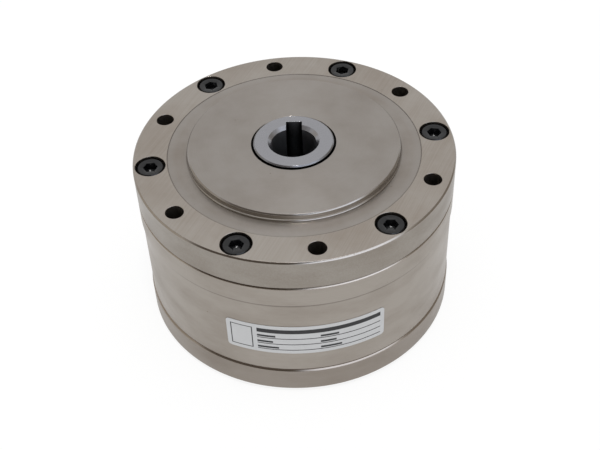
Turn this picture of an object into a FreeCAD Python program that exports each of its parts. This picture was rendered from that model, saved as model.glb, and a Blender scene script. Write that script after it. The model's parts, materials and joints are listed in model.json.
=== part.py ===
import FreeCAD, Part
import math
import os
from collections import namedtuple

Vec = FreeCAD.Vector
UP = Vec(0, 0, 1)
CENTRE = Vec(0, 0, 0)
Screw = namedtuple("Screw", "thread head height key socket")
Bearing = namedtuple("Bearing", "bore outside width")

# All sizes are millimetres. The axis of the reducer is Z, the output face lies at Z = 0
# and the keyed input end looks up.

# Outer body
BODY_D = 100.0
CASING_H = 36.5
FLANGE_T = 10.5
RETAINER_T = 9.0
RIM_H = 7.0
RIM_STEP = 0.35
EDGE = 0.4
FINE_EDGE = 0.1
OUTPUT_PROUD = 1.0
BOSS_D = 66.0
BOSS_H = 2.5
BOSS_FOOT_R = 0.35
BOSS_FOOT_LAND = 0.1
BOSS_FOOT_SINK = 0.15
HUB_PROUD = 0.7

# Bolting of the body
BODY_SCREW = Screw(thread=5.0, head=8.5, height=5.0, key=4.0, socket=2.5)
BOLT_COUNT = 6
BOLT_INSET = 5.4
BOLT_TO_CAVITY = 6.1
MOUNT_HOLE_D = 5.5
HEAD_SINK = 0.4
FLANGE_SCREW_L = 16.0
RETAINER_SCREW_L = 12.0
THREAD_SPARE = 2.0

# Input end
SHAFT_D = 25.0
SHAFT_BORE_D = 14.0
BORE_CHAMFER = 1.07
KEYWAY_W = 5.0
KEYWAY_TOP = 9.3
KEYWAY_ANGLE = 80.6
HUB_GAP = 0.5
COVER_LIP = 2.0
COVER_LEDGE = 0.8
COVER_SINK = 0.2
CLAMP_LEDGE = 1.7
CLAMP_T = 3.5
SPIGOT_H = 1.4
PLUG_T = 2.0
PLUG_LEDGE = 0.3

# Ball drive
THROW = 0.8
BALL_D = 5.0
FIXED_WAVES = 18
UPPER_WAVES = 16
LOWER_WAVES = 13
OUTPUT_WAVES = 15
UPPER_INSET = 8.5
LOWER_INSET = 10.5
LOBE_SHARE = 0.48
TRACK_T = 5.5
SWING_T = 10.0
DISC_GAP = 1.0
SHIM_T = 0.3
SHIM_INSET = 2.0
RUN_GAP = 0.5
SWING_GAP = 0.7
TRACK_SCREW = Screw(thread=3.0, head=5.5, height=3.0, key=2.5, socket=1.5)
TRACK_SCREW_L = 8.0
TRACK_SCREW_COUNT = 6
TRACK_HEAD_SINK = 0.2
DOWEL_D = 3.0
DOWEL_L = 8.5
DOWEL_SINK = 1.0
DOWEL_COUNT = 2

# Thin ball bearings of the shaft
BEARING_SECTION = 6.0
BEARING_W = 7.0
ECCENTRIC_STEP = 2.5
RACE_BALL_D = 3.5
RACE_BALL_COUNT = 16
RING_GAP = 1.8
CAGE_T = 1.2
CAGE_H = 5.0

# Crossed roller bearing of the output
MAIN_BEARING_W = 8.0
MAIN_BEARING_SPAN = 8.0
MAIN_RING_GAP = 0.8
MAIN_STEP = 0.5
ROLLER_D = 4.0
ROLLER_L = 3.7
ROLLER_COUNT = 38
SHOULDER_W = 2.0
SHOULDER_T = 1.0
NUT_T = 2.7
NUT_SLOT_W = 4.0
NUT_SLOT_DEPTH = 1.6
NUT_SLOT_COUNT = 4

# Output end
OUTPUT_RECESS_D = 30.0
OUTPUT_RECESS = 4.0
OUTPUT_FLOOR = 8.0
OUTPUT_PCD = 46.0
OUTPUT_TAP_D = 5.0
OUTPUT_TAP_DEPTH = 9.0
OUTPUT_TAP_COUNT = 6
OUTPUT_PIN_D = 4.0
OUTPUT_PIN_DEPTH = 7.0
JOURNAL_SHOULDER = 3.0
END_SHOULDER = 2.5
RETAINER_SPIGOT = 2.3
RETAINER_WALL = 3.0

# Seals and rings
SEAL_W = 5.0
SEAL_SECTION = 4.0
OUTPUT_SEAL_W = 6.6
OUTPUT_SEAL_SECTION = 7.5
SEAL_INSET = 0.8
SEAL_CASE_T = 0.9
SEAL_FLOOR = 1.6
LIP_T = 0.7
LIP_RISE = 1.4
LIP_BEAD = 1.0
O_RING_D = 1.4
O_RING_LAND = 1.3
O_RING_SPREAD = 0.56

# Spring rings and shaft details
CIRCLIP_T = 1.2
CIRCLIP_RIM = 2.7
CIRCLIP_GROOVE = 0.8
CIRCLIP_GAP = 4.0
LUG_D = 3.2
LUG_EYE_D = 1.6
SWING_LIP = 1.2
SWING_LIP_W = 1.4
WEIGHT_T = 5.0
WEIGHT_RIM = 3.0
WEIGHT_SWEEP = 150.0
COLLAR = 1.5
STOP_COLLAR = 1.2
STOP_T = 2.0
SHAFT_FOOT = 1.2

# Type label
LABEL_H = 12.0
LABEL_SWEEP = 57.0
LABEL_T = 0.1
LABEL_TOP = 27.0
LABEL_ANGLE = -95.5
LABEL_CORNER = 1.2

# Clearances
FIT = 0.02
SLIP = 0.05
THREAD_PLAY = 0.05
SCREW_PLAY = 0.45
TRACK_HOLE_PLAY = 0.2
TRACK_HEAD_PLAY = 0.25
BALL_PLAY = 0.15
RACE_PLAY = 0.06
POCKET_PLAY = 0.15
LIP_PLAY = 0.05

# How far a cutting tool runs past a face
PAST = 1.0

# Sizes that follow from the screws and the shaft
COUNTERBORE_DEPTH = BODY_SCREW.height + HEAD_SINK
TRACK_SINK_DEPTH = TRACK_SCREW.height + TRACK_HEAD_SINK
TRACK_TAP_DEPTH = TRACK_SCREW_L - TRACK_T + TRACK_SINK_DEPTH + THREAD_SPARE
SHAFT_BEARING = Bearing(SHAFT_D, SHAFT_D + 2 * BEARING_SECTION, BEARING_W)
ECCENTRIC_D = SHAFT_D + 2 * ECCENTRIC_STEP
ECCENTRIC_BEARING = Bearing(ECCENTRIC_D, ECCENTRIC_D + 2 * BEARING_SECTION, BEARING_W)

# Levels, from the output face upwards
Z_RETAINER = OUTPUT_PROUD
Z_CASING = Z_RETAINER + RETAINER_T
Z_FLANGE = Z_CASING + CASING_H
Z_FACE = Z_FLANGE + FLANGE_T
Z_BOSS = Z_FACE + BOSS_H
Z_HUB = Z_BOSS + HUB_PROUD
Z_SPIGOT = Z_FLANGE - SPIGOT_H
Z_FIXED = Z_SPIGOT - SHIM_T - TRACK_T
Z_UPPER_BALLS = Z_FIXED - DISC_GAP / 2
Z_SWING = Z_FIXED - DISC_GAP - SWING_T
Z_LOWER_BALLS = Z_SWING - DISC_GAP / 2
Z_TRACK = Z_SWING - DISC_GAP - TRACK_T
Z_MAIN = Z_CASING + RETAINER_SPIGOT
Z_MAIN_MIDDLE = Z_MAIN + MAIN_BEARING_W / 2
Z_MAIN_TOP = Z_MAIN + MAIN_BEARING_W
Z_END = Z_TRACK - BEARING_W
Z_FOOT = Z_END - SHAFT_FOOT
Z_SEAT = Z_SWING + SWING_LIP
Z_CLIP = Z_SEAT + BEARING_W

# Radii, from the body and the shaft
R_BODY = BODY_D / 2
R_CASING = R_BODY - RIM_STEP
R_BOLT = R_BODY - BOLT_INSET
R_CAVITY = R_BOLT - BOLT_TO_CAVITY
R_COVER = R_CAVITY + COVER_LEDGE
R_CLAMP = R_COVER + CLAMP_LEDGE
R_UPPER = R_CAVITY - UPPER_INSET
R_LOWER = R_CAVITY - LOWER_INSET
R_DISC = R_CAVITY - RUN_GAP
R_SWING = R_CAVITY - SWING_GAP - THROW
R_MAIN = R_CAVITY - MAIN_STEP
R_O_RING = R_MAIN + O_RING_LAND
R_JOURNAL = R_MAIN - MAIN_BEARING_SPAN
R_MAIN_PITCH = (R_MAIN + R_JOURNAL) / 2
R_NUT = R_MAIN_PITCH - MAIN_RING_GAP / 2
R_OUTPUT_SEAL = R_JOURNAL + OUTPUT_SEAL_SECTION
R_SHAFT = SHAFT_D / 2
R_INPUT_SEAL = R_SHAFT + SEAL_SECTION
R_COLLAR = R_SHAFT + COLLAR
R_WEIGHT = R_COLLAR + WEIGHT_RIM
R_DISC_HOLE = R_WEIGHT + RUN_GAP
R_ECCENTRIC = ECCENTRIC_D / 2
R_PLUG = KEYWAY_TOP + PLUG_LEDGE
R_FIXED_SCREW = (R_DISC_HOLE + R_UPPER - THROW / 2 - BALL_D / 2) / 2
R_OUTPUT_SCREW = (R_DISC_HOLE + R_LOWER - THROW / 2 - BALL_D / 2) / 2


def turned(points):
    """Solid turned about the axis from a closed outline of (radius, height) points."""
    corners = [Vec(r, 0, z) for r, z in points]
    outline = Part.makePolygon(corners + corners[:1])
    return Part.Face(outline).revolve(CENTRE, UP, 360)


def rod(radius, low, high, x=0.0, y=0.0):
    """Plain upright cylinder between two heights."""
    return Part.makeCylinder(radius, high - low, Vec(x, y, low))


def peg(radius, low, high, edge):
    """Upright pin on the axis with broken ends."""
    return turned([
        (0, low), (radius - edge, low), (radius, low + edge),
        (radius, high - edge), (radius - edge, high), (0, high),
    ])


def tube(outer, inner, low, high):
    """Plain ring between two heights."""
    return rod(outer, low, high).cut(rod(inner, low - PAST, high + PAST))


def ring(outer, inner, low, high, edge=EDGE):
    """Turned ring with its four corners broken."""
    return turned([
        (inner + edge, low), (outer - edge, low), (outer, low + edge), (outer, high - edge),
        (outer - edge, high), (inner + edge, high), (inner, high - edge), (inner, low + edge),
    ])


def sector(outer, inner, low, high, sweep, middle):
    """Part of a plain ring, centred on a direction in degrees."""
    corners = [Vec(inner, 0, low), Vec(outer, 0, low), Vec(outer, 0, high), Vec(inner, 0, high)]
    arc = Part.Face(Part.makePolygon(corners + corners[:1])).revolve(CENTRE, UP, sweep)
    arc.rotate(CENTRE, UP, middle - sweep / 2)
    return arc


def around(shape, count, start=0.0):
    """Copies of a shape spaced evenly about the axis."""
    copies = []
    for index in range(count):
        copy = shape.copy()
        copy.rotate(CENTRE, UP, start + 360.0 * index / count)
        copies.append(copy)
    return copies


def between(shape, count, steps):
    """Copies spaced evenly, the first of them half way between two of the given steps."""
    return around(shape, count, 180.0 / steps)


def shifted(shape, x):
    """Copy of a shape moved along X."""
    copy = shape.copy()
    copy.translate(Vec(x, 0, 0))
    return copy


def hexagon(across, low, high):
    """Upright hexagonal prism, sized across its flats."""
    reach = across / math.sqrt(3)
    corners = []
    for index in range(6):
        angle = math.radians(60 * index)
        corners.append(Vec(reach * math.cos(angle), reach * math.sin(angle), low))
    return Part.Face(Part.makePolygon(corners + corners[:1])).extrude(Vec(0, 0, high - low))


def cap_screw(size, length):
    """Socket head cap screw with its head standing on Z = 0 and its thread below."""
    shank = size.thread / 2
    head = size.head / 2
    body = turned([
        (0, -length), (shank - EDGE, -length), (shank, EDGE - length), (shank, 0), (head, 0),
        (head, size.height - EDGE), (head - EDGE, size.height), (0, size.height),
    ])
    return body.cut(hexagon(size.key, size.height - size.socket, size.height + PAST))


def placed_screw(size, length, radius, height, head_down=False):
    """Cap screw seated with its head at a radius and height, pointing down or up."""
    screw = cap_screw(size, length)
    if head_down:
        screw.rotate(CENTRE, Vec(1, 0, 0), 180)
    screw.translate(Vec(radius, 0, height))
    return screw


def torus_span(centre, radius, start, sweep, height, section):
    """Part of a round channel that follows one arc, given in radians."""
    begin = Vec(centre.x + radius * math.cos(start), centre.y + radius * math.sin(start), height)
    heading = Vec(-math.sin(start), math.cos(start), 0)
    face = Part.Face(Part.Wire(Part.makeCircle(section, begin, heading)))
    return face.revolve(centre, UP, math.degrees(sweep))


def track(pitch, waves, winding, start, height):
    """Wavy ball track: every wave is one outward and one inward arc that meet in a tangent.

    The arcs follow the curve of a ball that circles half the throw while it runs round the pitch.
    """
    half = math.pi / waves
    reach = THROW / 2
    share = half * LOBE_SHARE
    x = pitch * math.cos(share) + reach * math.cos(winding * share)
    y = pitch * math.sin(share) + reach * math.sin(winding * share)
    tip = pitch + reach
    root = pitch - reach
    lobe = ((tip - x) ** 2 + y * y) / (2 * (tip - x))
    near = tip - lobe
    lean = near * math.cos(half)
    dip = (lobe ** 2 - near ** 2 - root ** 2 + 2 * root * lean) / (2 * (root - lean - lobe))
    far = root + dip
    turn = math.atan2(far * math.sin(half), far * math.cos(half) - near)
    section = BALL_D / 2 + BALL_PLAY
    outward = torus_span(Vec(near, 0, 0), lobe, -turn, 2 * turn, height, section)
    dip_centre = Vec(far * math.cos(half), far * math.sin(half), 0)
    dip_start = 2 * half + math.pi - turn
    inward = torus_span(dip_centre, dip, dip_start, 2 * (turn - half), height, section)
    return around(outward, waves, start) + around(inward, waves, start)


def ring_track(pitch, waves, height):
    """Track of a disc that turns about the main axis."""
    return track(pitch, waves, 1 - waves, 0.0, height)


def swing_track(pitch, waves, height):
    """Track of the swinging disc, about its own centre."""
    return track(pitch, waves, 1 + waves, 180.0 / waves, height)


def ball_circle(pitch, count, height):
    """Drive balls, evenly spaced about a centre half a throw off the axis."""
    ball = Part.makeSphere(BALL_D / 2, Vec(pitch, 0, height))
    return [shifted(copy, THROW / 2) for copy in around(ball, count)]


def bearing_pitch(size):
    """Radius of the circle on which the balls of a ball bearing run."""
    return (size.bore + size.outside) / 4


def race_groove(size, low):
    """Channel that the balls of a ball bearing run in."""
    middle = Vec(0, 0, low + size.width / 2)
    return Part.makeTorus(bearing_pitch(size), RACE_BALL_D / 2 + RACE_PLAY, middle, UP)


def bearing_inner(size, low):
    """Inner ring of a ball bearing."""
    shoulder = bearing_pitch(size) - RING_GAP / 2
    blank = ring(shoulder, size.bore / 2 + FIT, low, low + size.width)
    return [blank.cut(race_groove(size, low))]


def bearing_outer(size, low):
    """Outer ring of a ball bearing."""
    shoulder = bearing_pitch(size) + RING_GAP / 2
    blank = ring(size.outside / 2 - FIT, shoulder, low, low + size.width)
    return [blank.cut(race_groove(size, low))]


def bearing_balls(size, low):
    """Balls of a ball bearing."""
    ball = Part.makeSphere(RACE_BALL_D / 2, Vec(bearing_pitch(size), 0, low + size.width / 2))
    return around(ball, RACE_BALL_COUNT)


def bearing_cage(size, low):
    """Cage with one round pocket for every ball of a ball bearing."""
    middle = low + size.width / 2
    pitch = bearing_pitch(size)
    band = tube(pitch + CAGE_T / 2, pitch - CAGE_T / 2, middle - CAGE_H / 2, middle + CAGE_H / 2)
    reach = Vec(pitch - CAGE_T, 0, middle)
    pocket = Part.makeCylinder(RACE_BALL_D / 2 + POCKET_PLAY, 2 * CAGE_T, reach, Vec(1, 0, 0))
    return [band.cut(around(pocket, RACE_BALL_COUNT))]


def body_ring_holes(low, high, sink_low, sink_high):
    """Cuts of a bolted end ring: sunk screw holes, with the mounting holes between them."""
    hole = rod(BODY_SCREW.thread / 2 + SCREW_PLAY, low - PAST, high + PAST, R_BOLT)
    mount = rod(MOUNT_HOLE_D / 2, low - PAST, high + PAST, R_BOLT)
    sink = rod(BODY_SCREW.head / 2 + SCREW_PLAY, sink_low, sink_high, R_BOLT)
    screws = around(hole, BOLT_COUNT) + around(sink, BOLT_COUNT)
    return screws + between(mount, BOLT_COUNT, BOLT_COUNT)


def flange_ring():
    """Ground ring at the input end, with screw and mounting holes on one circle."""
    ledge = Z_FLANGE + CLAMP_T
    body = turned([
        (R_CLAMP, Z_FLANGE), (R_BODY - EDGE, Z_FLANGE), (R_BODY, Z_FLANGE + EDGE),
        (R_BODY, Z_FACE - EDGE), (R_BODY - EDGE, Z_FACE), (R_COVER + FINE_EDGE, Z_FACE),
        (R_COVER, Z_FACE - FINE_EDGE), (R_COVER, ledge), (R_CLAMP, ledge),
    ])
    return body.cut(body_ring_holes(Z_FLANGE, Z_FACE, Z_FACE - COUNTERBORE_DEPTH, Z_FACE + PAST))


def pilot_cover():
    """Turned cover with the pilot boss, the input bearing seat and the seal seat."""
    seat = SHAFT_BEARING.outside / 2
    seat_top = Z_SPIGOT + BEARING_W
    lip = Z_BOSS - COVER_LIP
    hole = R_SHAFT + HUB_GAP
    boss = BOSS_D / 2
    rim = R_COVER - SLIP
    clamp = R_CLAMP - SLIP
    corner = clamp - O_RING_D
    spigot = R_CAVITY - SLIP
    top = Z_FACE - COVER_SINK
    ledge = Z_FLANGE + CLAMP_T
    foot = top - BOSS_FOOT_SINK
    relief = boss + BOSS_FOOT_R + BOSS_FOOT_LAND
    cover = turned([
        (seat, Z_SPIGOT), (seat, seat_top), (R_INPUT_SEAL, seat_top), (R_INPUT_SEAL, lip),
        (hole, lip), (hole, Z_BOSS - EDGE / 2), (hole + EDGE / 2, Z_BOSS), (boss - EDGE, Z_BOSS),
        (boss, Z_BOSS - EDGE), (boss, foot), (relief, foot), (relief, top), (rim - FINE_EDGE, top),
        (rim, top - FINE_EDGE), (rim, ledge), (clamp, ledge), (clamp, Z_FLANGE + O_RING_D),
        (corner, Z_FLANGE + O_RING_D), (corner, Z_FLANGE), (spigot, Z_FLANGE),
        (spigot, Z_SPIGOT + EDGE), (spigot - EDGE, Z_SPIGOT),
    ])
    rings = [edge for edge in cover.Edges if isinstance(edge.Curve, Part.Circle)]
    root = min(rings, key=lambda e: abs(e.Curve.Radius - boss) + abs(e.Curve.Center.z - foot))
    cover = cover.makeFillet(BOSS_FOOT_R, [root])
    tap_radius = TRACK_SCREW.thread / 2 + THREAD_PLAY
    tap = rod(tap_radius, Z_SPIGOT - PAST, Z_SPIGOT + TRACK_TAP_DEPTH, R_FIXED_SCREW)
    pin_top = Z_FIXED + DOWEL_SINK + DOWEL_L + SLIP
    pin = rod(DOWEL_D / 2 + FIT, Z_SPIGOT - PAST, pin_top, R_FIXED_SCREW)
    pins = between(pin, DOWEL_COUNT, TRACK_SCREW_COUNT)
    return cover.cut(around(tap, TRACK_SCREW_COUNT) + pins)


def casing():
    """Turned drum with its wider rim, the main bearing seat and the bolt holes."""
    lip = R_MAIN - SHOULDER_W
    lip_top = Z_MAIN_TOP + SHOULDER_T
    rim = Z_FLANGE - RIM_H
    drum = turned([
        (R_MAIN, Z_CASING), (R_CASING - EDGE, Z_CASING), (R_CASING, Z_CASING + EDGE),
        (R_CASING, rim - RIM_STEP), (R_BODY, rim), (R_BODY, Z_FLANGE - EDGE),
        (R_BODY - EDGE, Z_FLANGE), (R_CAVITY, Z_FLANGE), (R_CAVITY, lip_top), (lip, lip_top),
        (lip, Z_MAIN_TOP), (R_MAIN, Z_MAIN_TOP),
    ])
    mount = rod(MOUNT_HOLE_D / 2, Z_CASING - PAST, Z_FLANGE + PAST, R_BOLT)
    tap = BODY_SCREW.thread / 2 + THREAD_PLAY
    upper = FLANGE_SCREW_L - FLANGE_T + COUNTERBORE_DEPTH + THREAD_SPARE
    lower = RETAINER_SCREW_L - RETAINER_T + COUNTERBORE_DEPTH + THREAD_SPARE
    top_tap = rod(tap, Z_FLANGE - upper, Z_FLANGE + PAST, R_BOLT)
    low_tap = rod(tap, Z_CASING - PAST, Z_CASING + lower, R_BOLT)
    taps = around(top_tap, BOLT_COUNT) + around(low_tap, BOLT_COUNT)
    return drum.cut(between(mount, BOLT_COUNT, BOLT_COUNT) + taps)


def retainer_ring():
    """Bottom ring that holds the main bearing and carries the output seal."""
    shoulder = Z_RETAINER + SEAL_INSET + OUTPUT_SEAL_W
    spigot = R_MAIN - SLIP
    wall = spigot - RETAINER_WALL
    groove_out = R_O_RING + O_RING_D + O_RING_SPREAD
    groove_floor = Z_CASING - O_RING_D
    body = turned([
        (R_OUTPUT_SEAL + EDGE, Z_RETAINER), (R_BODY - EDGE, Z_RETAINER), (R_BODY, Z_RETAINER + EDGE),
        (R_BODY, Z_CASING - EDGE), (R_BODY - EDGE, Z_CASING), (groove_out, Z_CASING),
        (groove_out, groove_floor), (R_O_RING, groove_floor), (R_O_RING, Z_CASING),
        (spigot, Z_CASING), (spigot, Z_MAIN), (wall, Z_MAIN), (wall, shoulder),
        (R_OUTPUT_SEAL, shoulder), (R_OUTPUT_SEAL, Z_RETAINER + EDGE),
    ])
    sink_top = Z_RETAINER + COUNTERBORE_DEPTH
    return body.cut(body_ring_holes(Z_RETAINER, Z_CASING, Z_RETAINER - PAST, sink_top))


def flange_screws():
    """Screws that draw the flange ring onto the casing."""
    screw = placed_screw(BODY_SCREW, FLANGE_SCREW_L, R_BOLT, Z_FACE - COUNTERBORE_DEPTH)
    return around(screw, BOLT_COUNT)


def retainer_screws():
    """Screws that hold the retainer ring from below."""
    seat = Z_RETAINER + COUNTERBORE_DEPTH
    screw = placed_screw(BODY_SCREW, RETAINER_SCREW_L, R_BOLT, seat, head_down=True)
    return around(screw, BOLT_COUNT)


def type_label():
    """Thin sticker bent round the casing, with round corners."""
    inside = R_CASING + FIT
    top = Z_FACE - LABEL_TOP
    patch = sector(inside + LABEL_T, inside, top - LABEL_H, top, LABEL_SWEEP, LABEL_ANGLE)
    corners = [edge for edge in patch.Edges if edge.Length < 2 * LABEL_T]
    return patch.makeFillet(LABEL_CORNER, corners)


def preload_shim():
    """Thin ground ring that sets the press of the upper balls."""
    shim = tube(R_DISC - SHIM_INSET, R_DISC_HOLE, Z_SPIGOT - SHIM_T, Z_SPIGOT)
    hole = rod(TRACK_SCREW.thread / 2 + TRACK_HOLE_PLAY, Z_FIXED, Z_SPIGOT + PAST, R_FIXED_SCREW)
    pin = rod(DOWEL_D / 2 + SLIP, Z_FIXED, Z_SPIGOT + PAST, R_FIXED_SCREW)
    return shim.cut(around(hole, TRACK_SCREW_COUNT) + between(pin, DOWEL_COUNT, TRACK_SCREW_COUNT))


def track_blank(low, radius, screw_radius, sink_low):
    """Disc with its middle hole, sunk screw holes and dowel holes, before its track is cut."""
    high = low + TRACK_T
    disc = ring(radius, R_DISC_HOLE, low, high)
    hole = rod(TRACK_SCREW.thread / 2 + TRACK_HOLE_PLAY, low - PAST, high + PAST, screw_radius)
    sink_radius = TRACK_SCREW.head / 2 + TRACK_HEAD_PLAY
    sink = rod(sink_radius, sink_low, sink_low + TRACK_SINK_DEPTH, screw_radius)
    pin = rod(DOWEL_D / 2 + FIT, low - PAST, high + PAST, screw_radius)
    screws = around(hole, TRACK_SCREW_COUNT) + around(sink, TRACK_SCREW_COUNT)
    return disc.cut(screws + between(pin, DOWEL_COUNT, TRACK_SCREW_COUNT))


def track_dowels(low, radius):
    """Pins that keep a track disc from turning on the piece that carries it."""
    pin = peg(DOWEL_D / 2, low, low + DOWEL_L, EDGE)
    return between(shifted(pin, radius), DOWEL_COUNT, TRACK_SCREW_COUNT)


def fixed_track_disc():
    """Hardened disc under the cover, with the wavy track that stands still."""
    blank = track_blank(Z_FIXED, R_DISC, R_FIXED_SCREW, Z_FIXED)
    return blank.cut(ring_track(R_UPPER, FIXED_WAVES, Z_UPPER_BALLS))


def fixed_track_screws():
    """Screws that hold the fixed disc to the cover."""
    seat = Z_FIXED + TRACK_SINK_DEPTH
    screw = placed_screw(TRACK_SCREW, TRACK_SCREW_L, R_FIXED_SCREW, seat, head_down=True)
    return around(screw, TRACK_SCREW_COUNT)


def fixed_track_dowels():
    """Pins between the fixed disc and the cover."""
    return track_dowels(Z_FIXED + DOWEL_SINK, R_FIXED_SCREW)


def swing_disc():
    """Disc that swings on the eccentric, with one wavy track on each face."""
    seat = ECCENTRIC_BEARING.outside / 2
    lip = seat - SWING_LIP_W
    groove = seat + CIRCLIP_GROOVE
    groove_top = Z_CLIP + CIRCLIP_T + SLIP
    top = Z_SWING + SWING_T
    disc = turned([
        (lip, Z_SWING), (R_SWING - EDGE, Z_SWING), (R_SWING, Z_SWING + EDGE), (R_SWING, top - EDGE),
        (R_SWING - EDGE, top), (seat, top), (seat, groove_top), (groove, groove_top),
        (groove, Z_CLIP), (seat, Z_CLIP), (seat, Z_SEAT), (lip, Z_SEAT),
    ])
    upper = swing_track(R_UPPER, UPPER_WAVES, Z_UPPER_BALLS)
    lower = swing_track(R_LOWER, LOWER_WAVES, Z_LOWER_BALLS)
    return shifted(disc.cut(upper).cut(lower), THROW)


def output_track_disc():
    """Hardened disc on the output flange, with the wavy track that drives it."""
    sink_low = Z_TRACK + TRACK_T - TRACK_SINK_DEPTH
    blank = track_blank(Z_TRACK, R_DISC - RUN_GAP, R_OUTPUT_SCREW, sink_low)
    return blank.cut(ring_track(R_LOWER, OUTPUT_WAVES, Z_LOWER_BALLS))


def output_track_screws():
    """Screws that hold the driven disc to the output flange."""
    seat = Z_TRACK + TRACK_T - TRACK_SINK_DEPTH
    screw = placed_screw(TRACK_SCREW, TRACK_SCREW_L, R_OUTPUT_SCREW, seat)
    return around(screw, TRACK_SCREW_COUNT)


def output_track_dowels():
    """Pins that carry the drive from the disc into the output flange."""
    return track_dowels(Z_TRACK + TRACK_T - DOWEL_SINK - DOWEL_L, R_OUTPUT_SCREW)


def output_flange():
    """Driven flange with its main bearing journal, end bearing seat and threaded holes."""
    recess = OUTPUT_RECESS_D / 2
    seat = SHAFT_BEARING.outside / 2
    well = seat - END_SHOULDER
    floor = OUTPUT_RECESS + OUTPUT_FLOOR
    shoulder = R_JOURNAL + JOURNAL_SHOULDER
    flange = turned([
        (0, OUTPUT_RECESS), (recess, OUTPUT_RECESS), (recess, EDGE), (recess + EDGE, 0),
        (R_JOURNAL - EDGE, 0), (R_JOURNAL, EDGE), (R_JOURNAL, Z_MAIN_TOP), (shoulder, Z_MAIN_TOP),
        (shoulder, Z_TRACK), (seat, Z_TRACK), (seat, Z_END), (well, Z_END), (well, floor), (0, floor),
    ])
    tap = rod(OUTPUT_TAP_D / 2, -PAST, OUTPUT_TAP_DEPTH, OUTPUT_PCD / 2)
    pin = rod(OUTPUT_PIN_D / 2, -PAST, OUTPUT_PIN_DEPTH, OUTPUT_PCD / 2)
    tap_radius = TRACK_SCREW.thread / 2 + THREAD_PLAY
    top_tap = rod(tap_radius, Z_TRACK - TRACK_TAP_DEPTH, Z_TRACK + PAST, R_OUTPUT_SCREW)
    pin_low = Z_TRACK + TRACK_T - DOWEL_SINK - DOWEL_L - SLIP
    top_pin = rod(DOWEL_D / 2 + FIT, pin_low, Z_TRACK + PAST, R_OUTPUT_SCREW)
    below = around(tap, OUTPUT_TAP_COUNT) + between(pin, DOWEL_COUNT, OUTPUT_TAP_COUNT)
    above = around(top_tap, TRACK_SCREW_COUNT) + between(top_pin, DOWEL_COUNT, TRACK_SCREW_COUNT)
    return flange.cut(below + above)


def roller_groove():
    """Ring with a square section on edge, the channel of the crossed rollers."""
    reach = math.sqrt(2) * (ROLLER_D / 2 + RACE_PLAY)
    return turned([
        (R_MAIN_PITCH - reach, Z_MAIN_MIDDLE), (R_MAIN_PITCH, Z_MAIN_MIDDLE - reach),
        (R_MAIN_PITCH + reach, Z_MAIN_MIDDLE), (R_MAIN_PITCH, Z_MAIN_MIDDLE + reach),
    ])


def main_bearing_outer():
    """Outer ring of the crossed roller bearing, split at mid height."""
    inside = R_MAIN_PITCH + MAIN_RING_GAP / 2
    lower = ring(R_MAIN - FIT, inside, Z_MAIN, Z_MAIN_MIDDLE)
    upper = ring(R_MAIN - FIT, inside, Z_MAIN_MIDDLE, Z_MAIN_TOP)
    return [half.cut(roller_groove()) for half in (lower, upper)]


def main_bearing_inner():
    """Inner ring of the crossed roller bearing."""
    return ring(R_NUT, R_JOURNAL + FIT, Z_MAIN, Z_MAIN_TOP).cut(roller_groove())


def main_bearing_rollers():
    """Short rollers, each leaning across the one before it."""
    rollers = []
    for index in range(ROLLER_COUNT):
        roller = peg(ROLLER_D / 2, -ROLLER_L / 2, ROLLER_L / 2, FINE_EDGE)
        roller.rotate(CENTRE, Vec(0, 1, 0), 45 if index % 2 else -45)
        roller.translate(Vec(R_MAIN_PITCH, 0, Z_MAIN_MIDDLE))
        roller.rotate(CENTRE, UP, 360.0 * index / ROLLER_COUNT)
        rollers.append(roller)
    return rollers


def bearing_lock_nut():
    """Slotted nut that clamps the inner ring to the output flange."""
    low = Z_MAIN - NUT_T
    nut = ring(R_NUT, R_JOURNAL + THREAD_PLAY, low, Z_MAIN)
    corner = Vec(R_NUT - NUT_SLOT_DEPTH, -NUT_SLOT_W / 2, low)
    slot = Part.makeBox(NUT_SLOT_DEPTH + PAST, NUT_SLOT_W, NUT_T, corner)
    return nut.cut(around(slot, NUT_SLOT_COUNT))


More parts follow.
